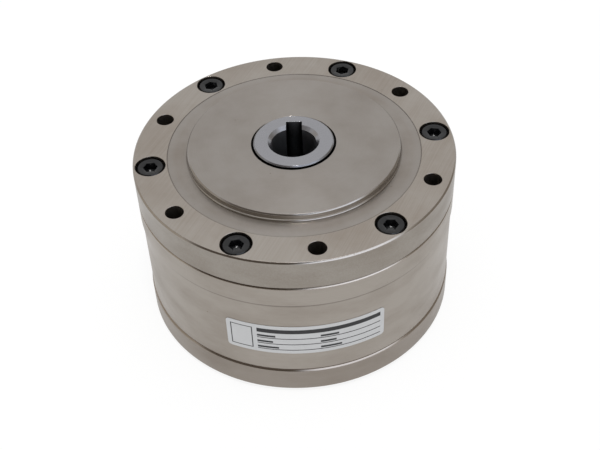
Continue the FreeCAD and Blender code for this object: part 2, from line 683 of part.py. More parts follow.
def eccentric_shaft():
    """Hollow keyed input shaft with its off-centre journal."""
    stop = R_ECCENTRIC + STOP_COLLAR
    stop_low = Z_SEAT - STOP_T
    crown = Z_SWING + SWING_T
    core = R_SHAFT - THROW
    body = turned([
        (0, Z_FOOT), (R_SHAFT - EDGE, Z_FOOT), (R_SHAFT, Z_FOOT + EDGE), (R_SHAFT, Z_TRACK),
        (R_COLLAR, Z_TRACK), (R_COLLAR, stop_low), (stop - EDGE, stop_low), (stop, stop_low + EDGE),
        (stop, Z_SEAT), (core, Z_SEAT), (core, crown), (R_COLLAR, crown), (R_COLLAR, Z_SPIGOT),
        (R_SHAFT, Z_SPIGOT), (R_SHAFT, Z_HUB - EDGE), (R_SHAFT - EDGE, Z_HUB), (0, Z_HUB),
    ])
    clip_floor = R_ECCENTRIC - CIRCLIP_GROOVE
    journal = turned([
        (0, Z_SEAT), (R_ECCENTRIC, Z_SEAT), (R_ECCENTRIC, Z_CLIP), (clip_floor, Z_CLIP),
        (clip_floor, Z_CLIP + CIRCLIP_T + SLIP), (R_ECCENTRIC, Z_CLIP + CIRCLIP_T + SLIP),
        (R_ECCENTRIC, crown - EDGE), (R_ECCENTRIC - EDGE, crown), (0, crown),
    ])
    solid = body.fuse(shifted(journal, THROW))
    bore = rod(SHAFT_BORE_D / 2, Z_FOOT - PAST, Z_HUB + PAST)
    flare = BORE_CHAMFER + PAST
    wide = SHAFT_BORE_D / 2 + flare
    mouth = Part.makeCone(SHAFT_BORE_D / 2, wide, flare, Vec(0, 0, Z_HUB - BORE_CHAMFER))
    keyway = Part.makeBox(KEYWAY_TOP, KEYWAY_W, Z_HUB - Z_FOOT, Vec(0, -KEYWAY_W / 2, Z_FOOT + PLUG_T))
    keyway.rotate(CENTRE, UP, KEYWAY_ANGLE)
    plug_seat = rod(R_PLUG + FIT, Z_FOOT - PAST, Z_FOOT + PLUG_T)
    return solid.cut([bore, mouth, keyway, plug_seat])


def bore_plug():
    """Cap that closes the lower end of the shaft bore against grease."""
    return peg(R_PLUG, Z_FOOT + SLIP, Z_FOOT + PLUG_T - SLIP, EDGE)


def counterweights():
    """Two crescents on the shaft, opposite the off-centre journal."""
    weights = []
    for low in (Z_TRACK + EDGE, Z_FIXED + EDGE):
        weights.append(sector(R_WEIGHT, R_COLLAR + SLIP, low, low + WEIGHT_T, WEIGHT_SWEEP, 180.0))
    return weights


def swing_circlip():
    """Spring ring with two drilled lugs that holds the eccentric bearing in the swinging disc."""
    outer = ECCENTRIC_BEARING.outside / 2 + CIRCLIP_GROOVE - SLIP
    inner = outer - CIRCLIP_RIM
    top = Z_CLIP + CIRCLIP_T
    lugs = []
    eyes = []
    for side in (-CIRCLIP_GAP, CIRCLIP_GAP):
        lugs.append(rod(LUG_D / 2, Z_CLIP, top, inner, side))
        eyes.append(rod(LUG_EYE_D / 2, Z_CLIP - PAST, top + PAST, inner, side))
    gap = Part.makeBox(outer, CIRCLIP_GAP, CIRCLIP_T, Vec(PAST, -CIRCLIP_GAP / 2, Z_CLIP))
    clip = tube(outer, inner, Z_CLIP, top).fuse(lugs)
    return shifted(clip.cut([gap] + eyes), THROW)


def eccentric_circlip():
    """Spring ring that holds the eccentric bearing on its journal."""
    inner = R_ECCENTRIC - CIRCLIP_GROOVE + SLIP
    clip = tube(inner + CIRCLIP_RIM, inner, Z_CLIP, Z_CLIP + CIRCLIP_T)
    gap = Part.makeBox(2 * inner, CIRCLIP_GAP, CIRCLIP_T, Vec(0, -CIRCLIP_GAP / 2, Z_CLIP))
    return shifted(clip.cut(gap), THROW)


def lip_seal(shaft, outside, low, width):
    """Lip seal: a rigid case with a lip that leans towards the shaft."""
    case = outside - FIT
    lip = shaft + LIP_PLAY
    floor = low + SEAL_FLOOR
    bead = floor + LIP_RISE
    return turned([
        (case, low), (case, low + width), (case - SEAL_CASE_T, low + width),
        (case - SEAL_CASE_T, floor), (lip + 2 * LIP_T, floor), (lip + LIP_T, bead + LIP_BEAD),
        (lip, bead), (lip + LIP_T, low),
    ])


def input_seal():
    """Seal round the hub, under the lip of the cover."""
    return lip_seal(R_SHAFT, R_INPUT_SEAL, Z_BOSS - COVER_LIP - SEAL_W - FIT, SEAL_W)


def output_seal():
    """Seal round the output journal, in the retainer ring."""
    return lip_seal(R_JOURNAL, R_OUTPUT_SEAL, Z_RETAINER + SEAL_INSET - FIT, OUTPUT_SEAL_W)


def cover_o_ring():
    """Round cord in the corner between cover, casing and flange ring."""
    middle = Vec(0, 0, Z_FLANGE + O_RING_D / 2)
    return Part.makeTorus(R_CLAMP - SLIP - O_RING_D / 2, O_RING_D / 2 - FIT, middle, UP)


def retainer_o_ring():
    """Round cord in the groove of the retainer ring."""
    middle = Vec(0, 0, Z_CASING - O_RING_D / 2)
    pitch = R_O_RING + (O_RING_D + O_RING_SPREAD) / 2
    return Part.makeTorus(pitch, O_RING_D / 2 - FIT, middle, UP)


def first_stage_balls():
    """Drive balls between the fixed disc and the swinging disc."""
    return ball_circle(R_UPPER, FIXED_WAVES - 1, Z_UPPER_BALLS)


def second_stage_balls():
    """Drive balls between the swinging disc and the driven disc."""
    return ball_circle(R_LOWER, OUTPUT_WAVES - 1, Z_LOWER_BALLS)


PIECES = (
    flange_ring, pilot_cover, casing, retainer_ring, flange_screws, retainer_screws, type_label,
    preload_shim, fixed_track_disc, fixed_track_screws, fixed_track_dowels, input_seal, output_seal,
    cover_o_ring, retainer_o_ring, eccentric_shaft, bore_plug, counterweights, eccentric_circlip,
    swing_disc, swing_circlip, first_stage_balls, second_stage_balls, output_flange,
    output_track_disc, output_track_screws, output_track_dowels, main_bearing_outer,
    main_bearing_inner, main_bearing_rollers, bearing_lock_nut,
)
BEARING_PLACES = (
    ("input", SHAFT_BEARING, Z_SPIGOT, 0.0),
    ("eccentric", ECCENTRIC_BEARING, Z_SEAT, THROW),
    ("end", SHAFT_BEARING, Z_END, 0.0),
)
BEARING_PIECES = (bearing_outer, bearing_inner, bearing_balls, bearing_cage)

nodes = {piece.__name__: piece() for piece in PIECES}
for place, size, low, offset in BEARING_PLACES:
    for piece in BEARING_PIECES:
        nodes[place + "_" + piece.__name__] = [shifted(solid, offset) for solid in piece(size, low)]

os.makedirs("parts", exist_ok=True)
for name, shape in nodes.items():
    if isinstance(shape, list):
        shape = Part.makeCompound(shape)
    shape.exportStep("parts/" + name + ".step")
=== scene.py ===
"""Looks of a round ball reducer: finer models of the pieces that show, and a finish for every surface."""

import json
import logging
import math
from dataclasses import dataclass, field
from enum import Enum

import bmesh
import bpy
from mathutils import Matrix, Vector

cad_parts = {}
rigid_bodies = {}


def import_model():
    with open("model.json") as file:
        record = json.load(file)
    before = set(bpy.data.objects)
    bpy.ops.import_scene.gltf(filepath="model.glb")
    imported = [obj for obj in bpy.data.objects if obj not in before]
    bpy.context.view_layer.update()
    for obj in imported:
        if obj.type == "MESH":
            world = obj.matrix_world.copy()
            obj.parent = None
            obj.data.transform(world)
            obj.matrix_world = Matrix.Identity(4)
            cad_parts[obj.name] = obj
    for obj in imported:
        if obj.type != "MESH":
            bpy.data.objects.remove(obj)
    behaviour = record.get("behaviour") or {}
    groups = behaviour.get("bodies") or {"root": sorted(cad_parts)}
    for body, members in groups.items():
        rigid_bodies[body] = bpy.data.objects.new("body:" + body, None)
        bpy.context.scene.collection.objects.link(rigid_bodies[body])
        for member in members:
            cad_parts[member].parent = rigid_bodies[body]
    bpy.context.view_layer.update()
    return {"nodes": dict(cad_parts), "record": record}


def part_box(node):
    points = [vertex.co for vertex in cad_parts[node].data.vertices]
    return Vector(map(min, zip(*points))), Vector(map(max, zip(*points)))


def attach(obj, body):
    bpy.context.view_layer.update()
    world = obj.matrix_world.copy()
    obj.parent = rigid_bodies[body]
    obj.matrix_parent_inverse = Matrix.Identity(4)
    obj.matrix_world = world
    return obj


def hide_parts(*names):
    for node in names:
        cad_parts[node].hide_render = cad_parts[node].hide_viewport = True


logging.basicConfig(level=logging.INFO, format="%(message)s")
log = logging.getLogger("ball_reducer")

MM = 0.001

# How finely round shapes are divided, and the angle at which their shading breaks.
BODY_STEPS = 192
HOLE_STEPS = 48
ARC_STEPS = 4
HEX_SIDES = 6
SHARP_ANGLE = math.radians(32.0)
# A chamfer's slope, its ends' rounding as a share of its leg, and the strip that keeps a face straight.
CHAMFER_ANGLE = math.radians(45.0)
CHAMFER_SOFTNESS = 0.4
SUPPORT = 0.05 * MM
# How near two points count as one, and how near a point counts as lying on a cut.
MERGE = 0.002 * MM
CUT_NEAR = 1e-7
# The middle of a span, and the grid size that gives a unit square.
MIDDLE = 0.5
UNIT_SQUARE = 0.5

# How level a surface lies where edges begin, and where faces begin.
EDGE_SLOPE = 0.4
FACE_SLOPE = 0.8
# The way the grinding strokes run, and the turn that spreads the shine across the lathe's rings.
GRINDING_ANGLE = math.radians(57.0)
QUARTER_TURN = 0.25
# Between which values most of a noise lies, and how detailed each noise is.
NOISE_SPAN = {"From Min": 0.3, "From Max": 0.7}
LINE_DETAIL = 3.0
STAIN_DETAIL = 5.0
STAIN_GRAIN = 0.6
CLOUD_DETAIL = 2.0
# How many rays find the shading of a rounded edge.
BEVEL_SAMPLES = 6
# The sRGB curve, a straight start up to a knee and then a power, and plain white.
FULL_BYTE = 255
SRGB_KNEE = 0.04045
SRGB_SLOPE = 12.92
SRGB_OFFSET = 0.055
SRGB_POWER = 2.4
WHITE = (1.0, 1.0, 1.0, 1.0)

# How long each set's screws are, and where each screw came to a stop, in degrees, in the order of the holes.
FLANGE_SCREW_LENGTH = 16.0 * MM
FLANGE_SCREW_TURNS = (12.0, 41.0, 5.0, 27.0, 33.0, 18.0)
RETAINER_SCREW_LENGTH = 12.0 * MM
RETAINER_SCREW_TURNS = (7.0, 22.0, 48.0, 13.0, 36.0, 51.0)

Tree = bpy.types.NodeTree
Node = bpy.types.Node
Socket = bpy.types.NodeSocket
Mesh = bmesh.types.BMesh
Piece = bpy.types.Object
Loop = list[bmesh.types.BMEdge]
Strokes = list[bmesh.types.BMVert | bmesh.types.BMEdge]
Pair = tuple[float, float]
Outline = tuple[Pair, ...]
Colour = tuple[float, float, float, float]

for leftover in list(bpy.data.objects):
    bpy.data.objects.remove(leftover)
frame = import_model()


def linear(code: str) -> Colour:
    """Turn an sRGB hex colour into a linear one.

    Args:
        code: Six hex digits after a hash sign.

    Returns:
        Red, green, blue and a full alpha.
    """
    shares = [byte / FULL_BYTE for byte in bytes.fromhex(code[1:])]
    red, green, blue = (share / SRGB_SLOPE if share <= SRGB_KNEE
                        else ((share + SRGB_OFFSET) / (1 + SRGB_OFFSET)) ** SRGB_POWER for share in shares)
    return red, green, blue, 1.0


def add(tree: Tree, kind: str, inputs: dict | None = None, **settings: object) -> Node:
    """Add a node with its settings, input values and links.

    Args:
        tree: The tree that gets the node.
        kind: Blender's name for the kind of node.
        inputs: For each input, by its name or number, a socket, a node for its first output, or a value.
        **settings: Attributes set on the node itself.

    Returns:
        The new node.
    """
    node = tree.nodes.new(kind)
    for name, value in settings.items():
        setattr(node, name, value)
    for name, value in (inputs or {}).items():
        source = value.outputs[0] if isinstance(value, Node) else value
        if isinstance(source, Socket):
            tree.links.new(source, node.inputs[name])
        else:
            node.inputs[name].default_value = source
    return node


class Marks(Enum):
    """How a metal surface was last worked, which sets the way its fine lines run."""

    TURNED = "rings on faces and bands on walls"
    GROUND = "straight strokes"
    LAPPED = "no direction"


class Along(Enum):
    """What a ring of dirt or of painted shade is placed by: how high it lies or how far from the axis."""

    HEIGHT = "height"
    RADIUS = "radius"


Reach = dict[Along, Socket]


@dataclass(frozen=True)
class DirtAndShadeLine:
    """A ring on a turned piece, of dirt, staining or painted shade as each line is set, full in its core and
    thinner where it was wiped.
    """

    along: Along
    place: float
    width: float
    share: float
    core: float = 0.3
    colour: str = "#2B2621"
    wiped: float = 0.35

    def strength(self, tree: Tree, reach: Reach) -> Socket:
        """Give how strongly the ring shows.

        Args:
            tree: The material's node tree.
            reach: Height and distance from the axis.

        Returns:
            A socket with the ring's share in its core and zero beyond its width.
        """
        half = self.width / 2
        off = add(tree, "ShaderNodeMath", {0: reach[self.along], 1: self.place}, operation="SUBTRACT")
        away = add(tree, "ShaderNodeMath", {0: off}, operation="ABSOLUTE")
        return add(tree, "ShaderNodeMapRange",
                   {"Value": away, "From Min": self.core * half, "From Max": half, "To Min": self.share,
                    "To Max": 0.0}).outputs[0]


@dataclass(frozen=True)
class Finish:
    """A surface finish that becomes one material."""

    name: str
    colour: str
    roughness: float

    def material(self) -> bpy.types.Material:
        """Give the finish's material, made on first use.

        Returns:
            The material with its nodes.
        """
        found = bpy.data.materials.get(self.name)
        if found:
            return found
        made = bpy.data.materials.new(self.name)
        made.use_nodes = True
        made.node_tree.nodes.clear()
        shader = add(made.node_tree, "ShaderNodeBsdfPrincipled")
        add(made.node_tree, "ShaderNodeOutputMaterial", {"Surface": shader.outputs["BSDF"]})
        self.shade(made.node_tree, shader)
        return made

    def shade(self, tree: Tree, shader: Node) -> None:
        """Set up the shader.

        Args:
            tree: The material's node tree.
            shader: Its main shader.
        """
        raise NotImplementedError


@dataclass(frozen=True)
class Metal(Finish):
    """Bare or plated metal: lines of its last working, handling stains, painted shade in corners, bright
    edges, and on some a painted highlight on the walls.
    """

    stain_and_shade: str = "#7C6F62"
    wall_highlight_colour: str = ""
    marks: Marks = Marks.TURNED
    wall_roughness: float = 0.34
    edge_roughness: float = 0.14
    edge_round: float = 0.18 * MM
    # Real tool and grinding lines are finer; they are drawn as coarse as they need to be to show.
    line_width: float = 0.35 * MM
    line_length: float = 30.0 * MM
    line_depth: float = 0.0012 * MM
    line_share: float = 0.12
    stain_size: float = 22.0 * MM
    stain_flatness: float = 2.6
    stain_low: float = 0.42
    stain_high: float = 0.78
    stain_share: float = 0.34
    corner_shade_reach: float = 0.9 * MM
    corner_shade_share: float = 0.85
    corner_shade_full: float = 0.45
    speck_spacing: float = 7.0 * MM
    speck_radius: float = 0.22 * MM
    speck_share: float = 0.9
    spread: float = 0.05
    stretch: float = 0.5
    dirt_and_shade_lines: tuple[DirtAndShadeLine, ...] = ()

    def reach(self, tree: Tree, place: Socket) -> Reach:
        """Measure the height and the distance from the axis.

        Args:
            tree: The material's node tree.
            place: Object coordinates.

        Returns:
            A socket for each of the two.
        """
        flat = add(tree, "ShaderNodeVectorMath", {0: place, 1: (1.0, 1.0, 0.0)}, operation="MULTIPLY")
        radius = add(tree, "ShaderNodeVectorMath", {0: flat}, operation="LENGTH")
        axes = add(tree, "ShaderNodeSeparateXYZ", {0: place})
        return {Along.RADIUS: radius.outputs["Value"], Along.HEIGHT: axes.outputs["Z"]}

    def across(self, tree: Tree, place: Socket, reach: Reach) -> Node:
        """Give a noise that varies across the working lines and hardly along them.

        Args:
            tree: The material's node tree.
            place: Object coordinates.
            reach: Height and distance from the axis.

        Returns:
            The noise.
        """
        if self.marks is Marks.TURNED:
            both = add(tree, "ShaderNodeMath", {0: reach[Along.RADIUS], 1: reach[Along.HEIGHT]})
            return add(tree, "ShaderNodeTexNoise",
                       {"W": both, "Scale": 1.0 / self.line_width, "Detail": LINE_DETAIL},
                       noise_dimensions="1D")
        along = self.line_length if self.marks is Marks.GROUND else self.line_width
        turned = add(tree, "ShaderNodeMapping",
                     {"Vector": place, "Rotation": (0.0, 0.0, GRINDING_ANGLE),
                      "Scale": (along, self.line_width, self.line_width)}, vector_type="TEXTURE")
        return add(tree, "ShaderNodeTexNoise", {"Vector": turned, "Scale": 1.0, "Detail": LINE_DETAIL})

    def levelness(self, tree: Tree) -> Socket:
        """Measure how level the surface lies.

        Args:
            tree: The material's node tree.

        Returns:
            A socket from zero on a wall to one on a face.
        """
        slope = add(tree, "ShaderNodeNewGeometry")
        axes = add(tree, "ShaderNodeSeparateXYZ", {0: slope.outputs["True Normal"]})
        return add(tree, "ShaderNodeMath", {0: axes.outputs["Z"]}, operation="ABSOLUTE").outputs[0]

    def gloss(self, tree: Tree, stains: Node) -> Socket:
        """Set the roughness by the slope of the surface, so that edges and walls shine more than faces.

        Args:
            tree: The material's node tree.
            stains: The noise of the stains.

        Returns:
            The roughness.
        """
        steps = add(tree, "ShaderNodeValToRGB", {0: self.levelness(tree)})
        ramp = steps.color_ramp
        ramp.interpolation = "CONSTANT"
        ramp.elements.new(FACE_SLOPE)
        levels = (self.wall_roughness, self.edge_roughness, self.roughness)
        for element, place, level in zip(ramp.elements, (0.0, EDGE_SLOPE, FACE_SLOPE), levels):
            element.position = place
            element.color = (level, level, level, 1.0)
        sway = add(tree, "ShaderNodeMapRange",
                   {"Value": stains, **NOISE_SPAN, "To Min": -self.spread, "To Max": self.spread})
        return add(tree, "ShaderNodeMath", {0: steps, 1: sway}).outputs[0]

    def soil_and_shade(self, tree: Tree, place: Socket, lines: Node, stains: Node) -> Socket:
        """Add up what darkens the metal: handling stains, working lines, painted shade in corners and
        specks.

        Args:
            tree: The material's node tree.
            place: Object coordinates.
            lines: The noise of the working lines.
            stains: The noise of the stains.

        Returns:
            A socket from clean, zero, to fully stained or shaded, one.
        """
        film = add(tree, "ShaderNodeMapRange",
                   {"Value": stains, "From Min": self.stain_low, "From Max": self.stain_high,
                    "To Min": 0.0, "To Max": self.stain_share})
        # Painted shade: ambient occlusion darkens the colour towards the stain colour in corners and
        # recesses.
        corner = add(tree, "ShaderNodeAmbientOcclusion", {"Distance": self.corner_shade_reach})
        corner_shade = add(tree, "ShaderNodeMapRange",
                    {"Value": corner.outputs["AO"], "From Min": self.corner_shade_full, "From Max": 1.0,
                     "To Min": self.corner_shade_share, "To Max": 0.0})
        pits = add(tree, "ShaderNodeTexVoronoi", {"Vector": place, "Scale": 1.0 / self.speck_spacing})
        size = self.speck_radius / self.speck_spacing
        dot = add(tree, "ShaderNodeMapRange",
                  {"Value": pits.outputs["Distance"], "From Min": size / 2, "From Max": size,
                   "To Min": self.speck_share, "To Max": 0.0})
        total = add(tree, "ShaderNodeMath", {0: lines, 1: self.line_share, 2: film},
                    operation="MULTIPLY_ADD")
        for layer in (corner_shade, dot):
            total = add(tree, "ShaderNodeMath", {0: total, 1: layer}, use_clamp=True)
        return total.outputs[0]

    def lines_of_dirt_and_shade(self, tree: Tree, tint: Socket, stains: Node, reach: Reach) -> Socket:
        """Lay the rings of dirt and of painted shade over the colour.

        Args:
            tree: The material's node tree.
            tint: The colour so far.
            stains: The noise of the stains.
            reach: Height and distance from the axis.

        Returns:
            The colour.
        """
        for line in self.dirt_and_shade_lines:
            kept = add(tree, "ShaderNodeMapRange",
                       {"Value": stains, **NOISE_SPAN, "To Min": 1.0 - line.wiped, "To Max": 1.0})
            share = add(tree, "ShaderNodeMath", {0: line.strength(tree, reach), 1: kept},
                        operation="MULTIPLY")
            tint = add(tree, "ShaderNodeMix", {"Factor": share, "A": tint, "B": linear(line.colour)},
                       data_type="RGBA").outputs["Result"]
        return tint

    def shade(self, tree: Tree, shader: Node) -> None:
        """Set up colour, gloss and fine lines.

        Args:
            tree: The material's node tree.
            shader: Its main shader.
        """
        place = add(tree, "ShaderNodeTexCoord").outputs["Object"]
        reach = self.reach(tree, place)
        lines = self.across(tree, place, reach)
        flat = add(tree, "ShaderNodeMapping", {"Vector": place, "Scale": (1.0, 1.0, self.stain_flatness)})
        stains = add(tree, "ShaderNodeTexNoise",
                     {"Vector": flat, "Scale": 1.0 / self.stain_size, "Detail": STAIN_DETAIL,
                      "Roughness": STAIN_GRAIN})
        clean = linear(self.colour)
        # Painted highlight: upright surfaces get a lighter colour than faces.
        if self.wall_highlight_colour:
            on_wall = add(tree, "ShaderNodeMath", {0: self.levelness(tree), 1: EDGE_SLOPE},
                          operation="LESS_THAN")
            clean = add(tree, "ShaderNodeMix",
                        {"Factor": on_wall, "A": clean, "B": linear(self.wall_highlight_colour)},
                        data_type="RGBA").outputs["Result"]
        soil_and_shade = self.soil_and_shade(tree, place, lines, stains)
        soiled_and_shaded = add(tree, "ShaderNodeMix", {"Factor": soil_and_shade, "A": clean, "B": linear(self.stain_and_shade)},
                     data_type="RGBA").outputs["Result"]
        relief = add(tree, "ShaderNodeBump", {"Height": lines, "Strength": 1.0, "Distance": self.line_depth})
        if self.edge_round:
            edges = add(tree, "ShaderNodeBevel", {"Radius": self.edge_round}, samples=BEVEL_SAMPLES)
            tree.links.new(edges.outputs[0], relief.inputs["Normal"])
        shader.inputs["Metallic"].default_value = 1.0
        if self.marks is Marks.TURNED:
            around = add(tree, "ShaderNodeTangent", direction_type="RADIAL", axis="Z")
            shader.inputs["Anisotropic"].default_value = self.stretch
            shader.inputs["Anisotropic Rotation"].default_value = QUARTER_TURN
            tree.links.new(around.outputs[0], shader.inputs["Tangent"])
        tree.links.new(self.lines_of_dirt_and_shade(tree, soiled_and_shaded, stains, reach), shader.inputs["Base Color"])
        tree.links.new(self.gloss(tree, stains), shader.inputs["Roughness"])
        tree.links.new(relief.outputs[0], shader.inputs["Normal"])


@dataclass(frozen=True)
class Coating(Finish):
    """Black oxide, rubber, film or plastic: a non-metal skin with a fine grain and uneven gloss."""

    fade: str = "#202022"
    # The real grain is finer; it is drawn as coarse as it needs to be to show.
    grain: float = 0.3 * MM
    grain_depth: float = 0.004 * MM
    cloud: float = 6.0 * MM
    spread: float = 0.08
    shine: float = 0.5

    def shade(self, tree: Tree, shader: Node) -> None:
        """Set up colour, gloss and grain.

        Args:
            tree: The material's node tree.
            shader: Its main shader.
        """
        place = add(tree, "ShaderNodeTexCoord").outputs["Object"]
        grain, cloud = (add(tree, "ShaderNodeTexNoise",
                            {"Vector": place, "Scale": 1.0 / size, "Detail": detail})
                        for size, detail in ((self.grain, LINE_DETAIL), (self.cloud, CLOUD_DETAIL)))
        tint = add(tree, "ShaderNodeMix",
                   {"Factor": cloud, "A": linear(self.colour), "B": linear(self.fade)}, data_type="RGBA")
        gloss = add(tree, "ShaderNodeMapRange",
                    {"Value": grain, **NOISE_SPAN, "To Min": self.roughness - self.spread,
                     "To Max": self.roughness + self.spread})
        relief = add(tree, "ShaderNodeBump",
                     {"Height": grain, "Strength": 1.0, "Distance": self.grain_depth})
        shader.inputs["Specular IOR Level"].default_value = self.shine
        tree.links.new(tint.outputs["Result"], shader.inputs["Base Color"])
        tree.links.new(gloss.outputs[0], shader.inputs["Roughness"])
        tree.links.new(relief.outputs[0], shader.inputs["Normal"])


# Dirt in the joint between cover and flange ring, on both sides, and a darker brown band on the ledge round
# the boss.
COVER_JOINT = DirtAndShadeLine(Along.RADIUS, place=39.04 * MM, width=0.22 * MM, share=0.05)
RING_JOINT = DirtAndShadeLine(Along.RADIUS, place=39.42 * MM, width=0.26 * MM, share=0.55)
LEDGE_BAND = DirtAndShadeLine(Along.RADIUS, place=35.6 * MM, width=4.6 * MM, share=0.2, core=0.5, colour="#77695A",
                       wiped=0.8)
# Painted shade in the corner at the boss's foot.
BOSS_CORNER = DirtAndShadeLine(Along.RADIUS, place=33.45 * MM, width=0.3 * MM, share=0.2)
# Dirt in the joint between flange ring and casing, and painted shade under the casing's rim.
CASING_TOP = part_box("casing")[1].z
SEAM = DirtAndShadeLine(Along.HEIGHT, place=CASING_TOP - 0.06 * MM, width=0.24 * MM, share=0.7)
RIM_CORNER = DirtAndShadeLine(Along.HEIGHT, place=CASING_TOP - 7.5 * MM, width=1.0 * MM, share=0.4)

# Nickel plate over ground steel: warm grey and satin, with straight strokes of the grinding wheel, and walls
# painted a little lighter as a painted highlight.
NICKEL_GROUND = Metal("nickel_plate_ground", "#A19C96", 0.36, wall_highlight_colour="#A7A29B", marks=Marks.GROUND,
                      line_share=0.5, edge_round=0.0, corner_shade_share=0.4, dirt_and_shade_lines=(RING_JOINT,))
# Nickel plate over turned steel: the same grey on the drum, with the fine rings of the lathe tool.
NICKEL_TURNED = Metal("nickel_plate_turned", "#AAA39B", 0.36, dirt_and_shade_lines=(SEAM, RIM_CORNER))
# Nickel plate over the faced cover: greyer, flat and satin on top, with a glossy wall painted lighter as a
# painted highlight.
NICKEL_FACED = Metal("nickel_plate_faced", "#928D88", 0.38, stain_and_shade="#746A60", stain_size=15.0 * MM,
                     stain_low=0.38, wall_roughness=0.12, wall_highlight_colour="#BEB8AF", edge_round=0.0,
                     corner_shade_reach=0.2 * MM, corner_shade_share=0.3,
                     dirt_and_shade_lines=(COVER_JOINT, LEDGE_BAND, BOSS_CORNER))
# Nickel plate over the bottom ring: the same grey, a little darker.
NICKEL_DARKER = Metal("nickel_plate_darker", "#9A928A", 0.36, edge_round=0.0)
# Bare steel ground on the hub end and the output face: colder and brighter than the plate.
STEEL_GROUND = Metal("bright_ground_steel", "#919195", 0.26, stain_and_shade="#77787D", stain_share=0.3,
                     edge_roughness=0.2)
# The same steel on the shaft, whose bore and keyway are dull and painted near black with a deep painted
# shade.
STEEL_SHADED_BORE = Metal("ground_steel_shaded_bore", "#919195", 0.26, stain_and_shade="#0D0D0E", stain_share=0.04,
                    line_share=0.03, wall_roughness=0.4, edge_roughness=0.2, corner_shade_reach=9.0 * MM,
                    corner_shade_full=0.55, corner_shade_share=0.985)
# Hardened steel with a lapped track: grey, close grained.
STEEL_HARDENED = Metal("hardened_lapped_steel", "#85868A", 0.30, stain_and_shade="#6E6E72", marks=Marks.LAPPED)
# Bearing steel, polished: nearly a mirror.
STEEL_BEARING = Metal("polished_bearing_steel", "#B9BABD", 0.14, stain_and_shade="#A4A5A8", marks=Marks.LAPPED,
                      spread=0.03)
# Phosphated spring steel: dark grey and dull.
STEEL_SPRING = Metal("phosphated_spring_steel", "#3A3B3D", 0.45, stain_and_shade="#2B2B2C", marks=Marks.LAPPED)
# Black oxide on alloy steel screws: a satin blue-black skin.
OXIDE = Coating("black_oxide_steel", "#0B0B0D", 0.18, fade="#151517", shine=0.32)
# The same skin where the drill left the bottom of a socket bright: nearly a mirror.
OXIDE_DRILLED = Coating("drilled_oxide_steel", "#0B0B0D", 0.07, fade="#151517", spread=0.03, shine=0.6)
# Nitrile rubber: matt black.
RUBBER = Coating("nitrile_rubber", "#121212", 0.62, fade="#1C1B1A")
# Natural polyamide of the bearing cages: ivory, slightly waxy.
POLYAMIDE = Coating("natural_polyamide", "#CDC3A8", 0.48, fade="#C2B795")
# Polyester label film, silver white and satin.
FILM = Coating("label_film", "#C4C5C6", 0.42, fade="#CBCCCE", grain_depth=0.001 * MM)
# Black printing ink on the film.
INK = Coating("printing_ink", "#17171A", 0.5, fade="#1E1E21", grain_depth=0.001 * MM)

SLOT_FINISH = {
    "nickel_ground": NICKEL_GROUND, "nickel_turned": NICKEL_TURNED, "ground_steel": STEEL_GROUND,
    "hardened_steel": STEEL_HARDENED, "bearing_steel": STEEL_BEARING, "spring_steel": STEEL_SPRING,
    "black_oxide": OXIDE, "seal_rubber": RUBBER, "cage_polymer": POLYAMIDE, "label_foil": FILM,
}
NODE_FINISH = {"pilot_cover": NICKEL_FACED, "retainer_ring": NICKEL_DARKER, "eccentric_shaft": STEEL_SHADED_BORE}


def circle(bm: Mesh, radius: float, height: float, steps: int) -> Loop:
    """Draw a level circle about the axis.

    Args:
        bm: The mesh that gets it.
        radius: Its radius.
        height: Its height.
        steps: How many edges it has.

    Returns:
        The circle's edges.
    """
    place = Matrix.Translation((0.0, 0.0, height))
    made = bmesh.ops.create_circle(bm, cap_ends=False, segments=steps, radius=radius, matrix=place)
    return edges_of(made["verts"])


def edges_of(verts: list[bmesh.types.BMVert]) -> Loop:
    """Give the edges that run between some vertices of a fresh loop."""
    return list({edge for vert in verts for edge in vert.link_edges})


def profile(bm: Mesh, outline: Outline, centre: Pair = (0.0, 0.0), closed: bool = False) -> Strokes:
    """Draw an outline of radius and height beside an upright axis.

    Args:
        bm: The mesh that gets it.
        outline: Radius and height of each point, in order.
        centre: The axis, seen from above.
        closed: Whether the last point is joined to the first.

    Returns:
        Its points and edges.
    """
    x, y = centre
    verts = [bm.verts.new((x + radius, y, height)) for radius, height in outline]
    ring = verts + verts[:1] if closed else verts
    return verts + [bm.edges.new(pair) for pair in zip(ring, ring[1:])]


def helix(bm: Mesh, strokes: Strokes, pitch: float, turns: int, steps: int) -> None:
    """Sweep a profile up along a screw thread.

    Args:
        bm: The mesh that holds the profile.
        strokes: The profile's points and edges.
        pitch: How far one turn rises.
        turns: How many turns are made.
        steps: How many steps each turn has.
    """
    bmesh.ops.spin(bm, geom=strokes, cent=(0, 0, 0), axis=(0, 0, 1), angle=math.tau * turns,
                   steps=steps * turns, dvec=(0, 0, pitch / steps), use_merge=False)


def wall(bm: Mesh, outline: Outline, steps: int, centre: Pair = (0.0, 0.0)) -> tuple[Loop, Loop]:
    """Spin a turned wall from an outline of radius and height.

    Args:
        bm: The mesh that gets it.
        outline: Radius and height of each ring, in order.
        steps: How many edges go round.
        centre: The axis, seen from above.

    Returns:
        The first and the last ring.
    """
    x, y = centre
    known = set(bm.edges)
    bmesh.ops.spin(bm, geom=profile(bm, outline, centre), cent=(x, y, 0), axis=(0, 0, 1), angle=math.tau,
                   steps=steps, use_merge=True)
    first, last = [], []
    for edge in bm.edges:
        if edge not in known and edge.is_boundary:
            place = edge.verts[0].co
            spot = (math.hypot(place.x - x, place.y - y), place.z)
            near_first = math.dist(spot, outline[0]) < math.dist(spot, outline[-1])
            (first if near_first else last).append(edge)
    return first, last


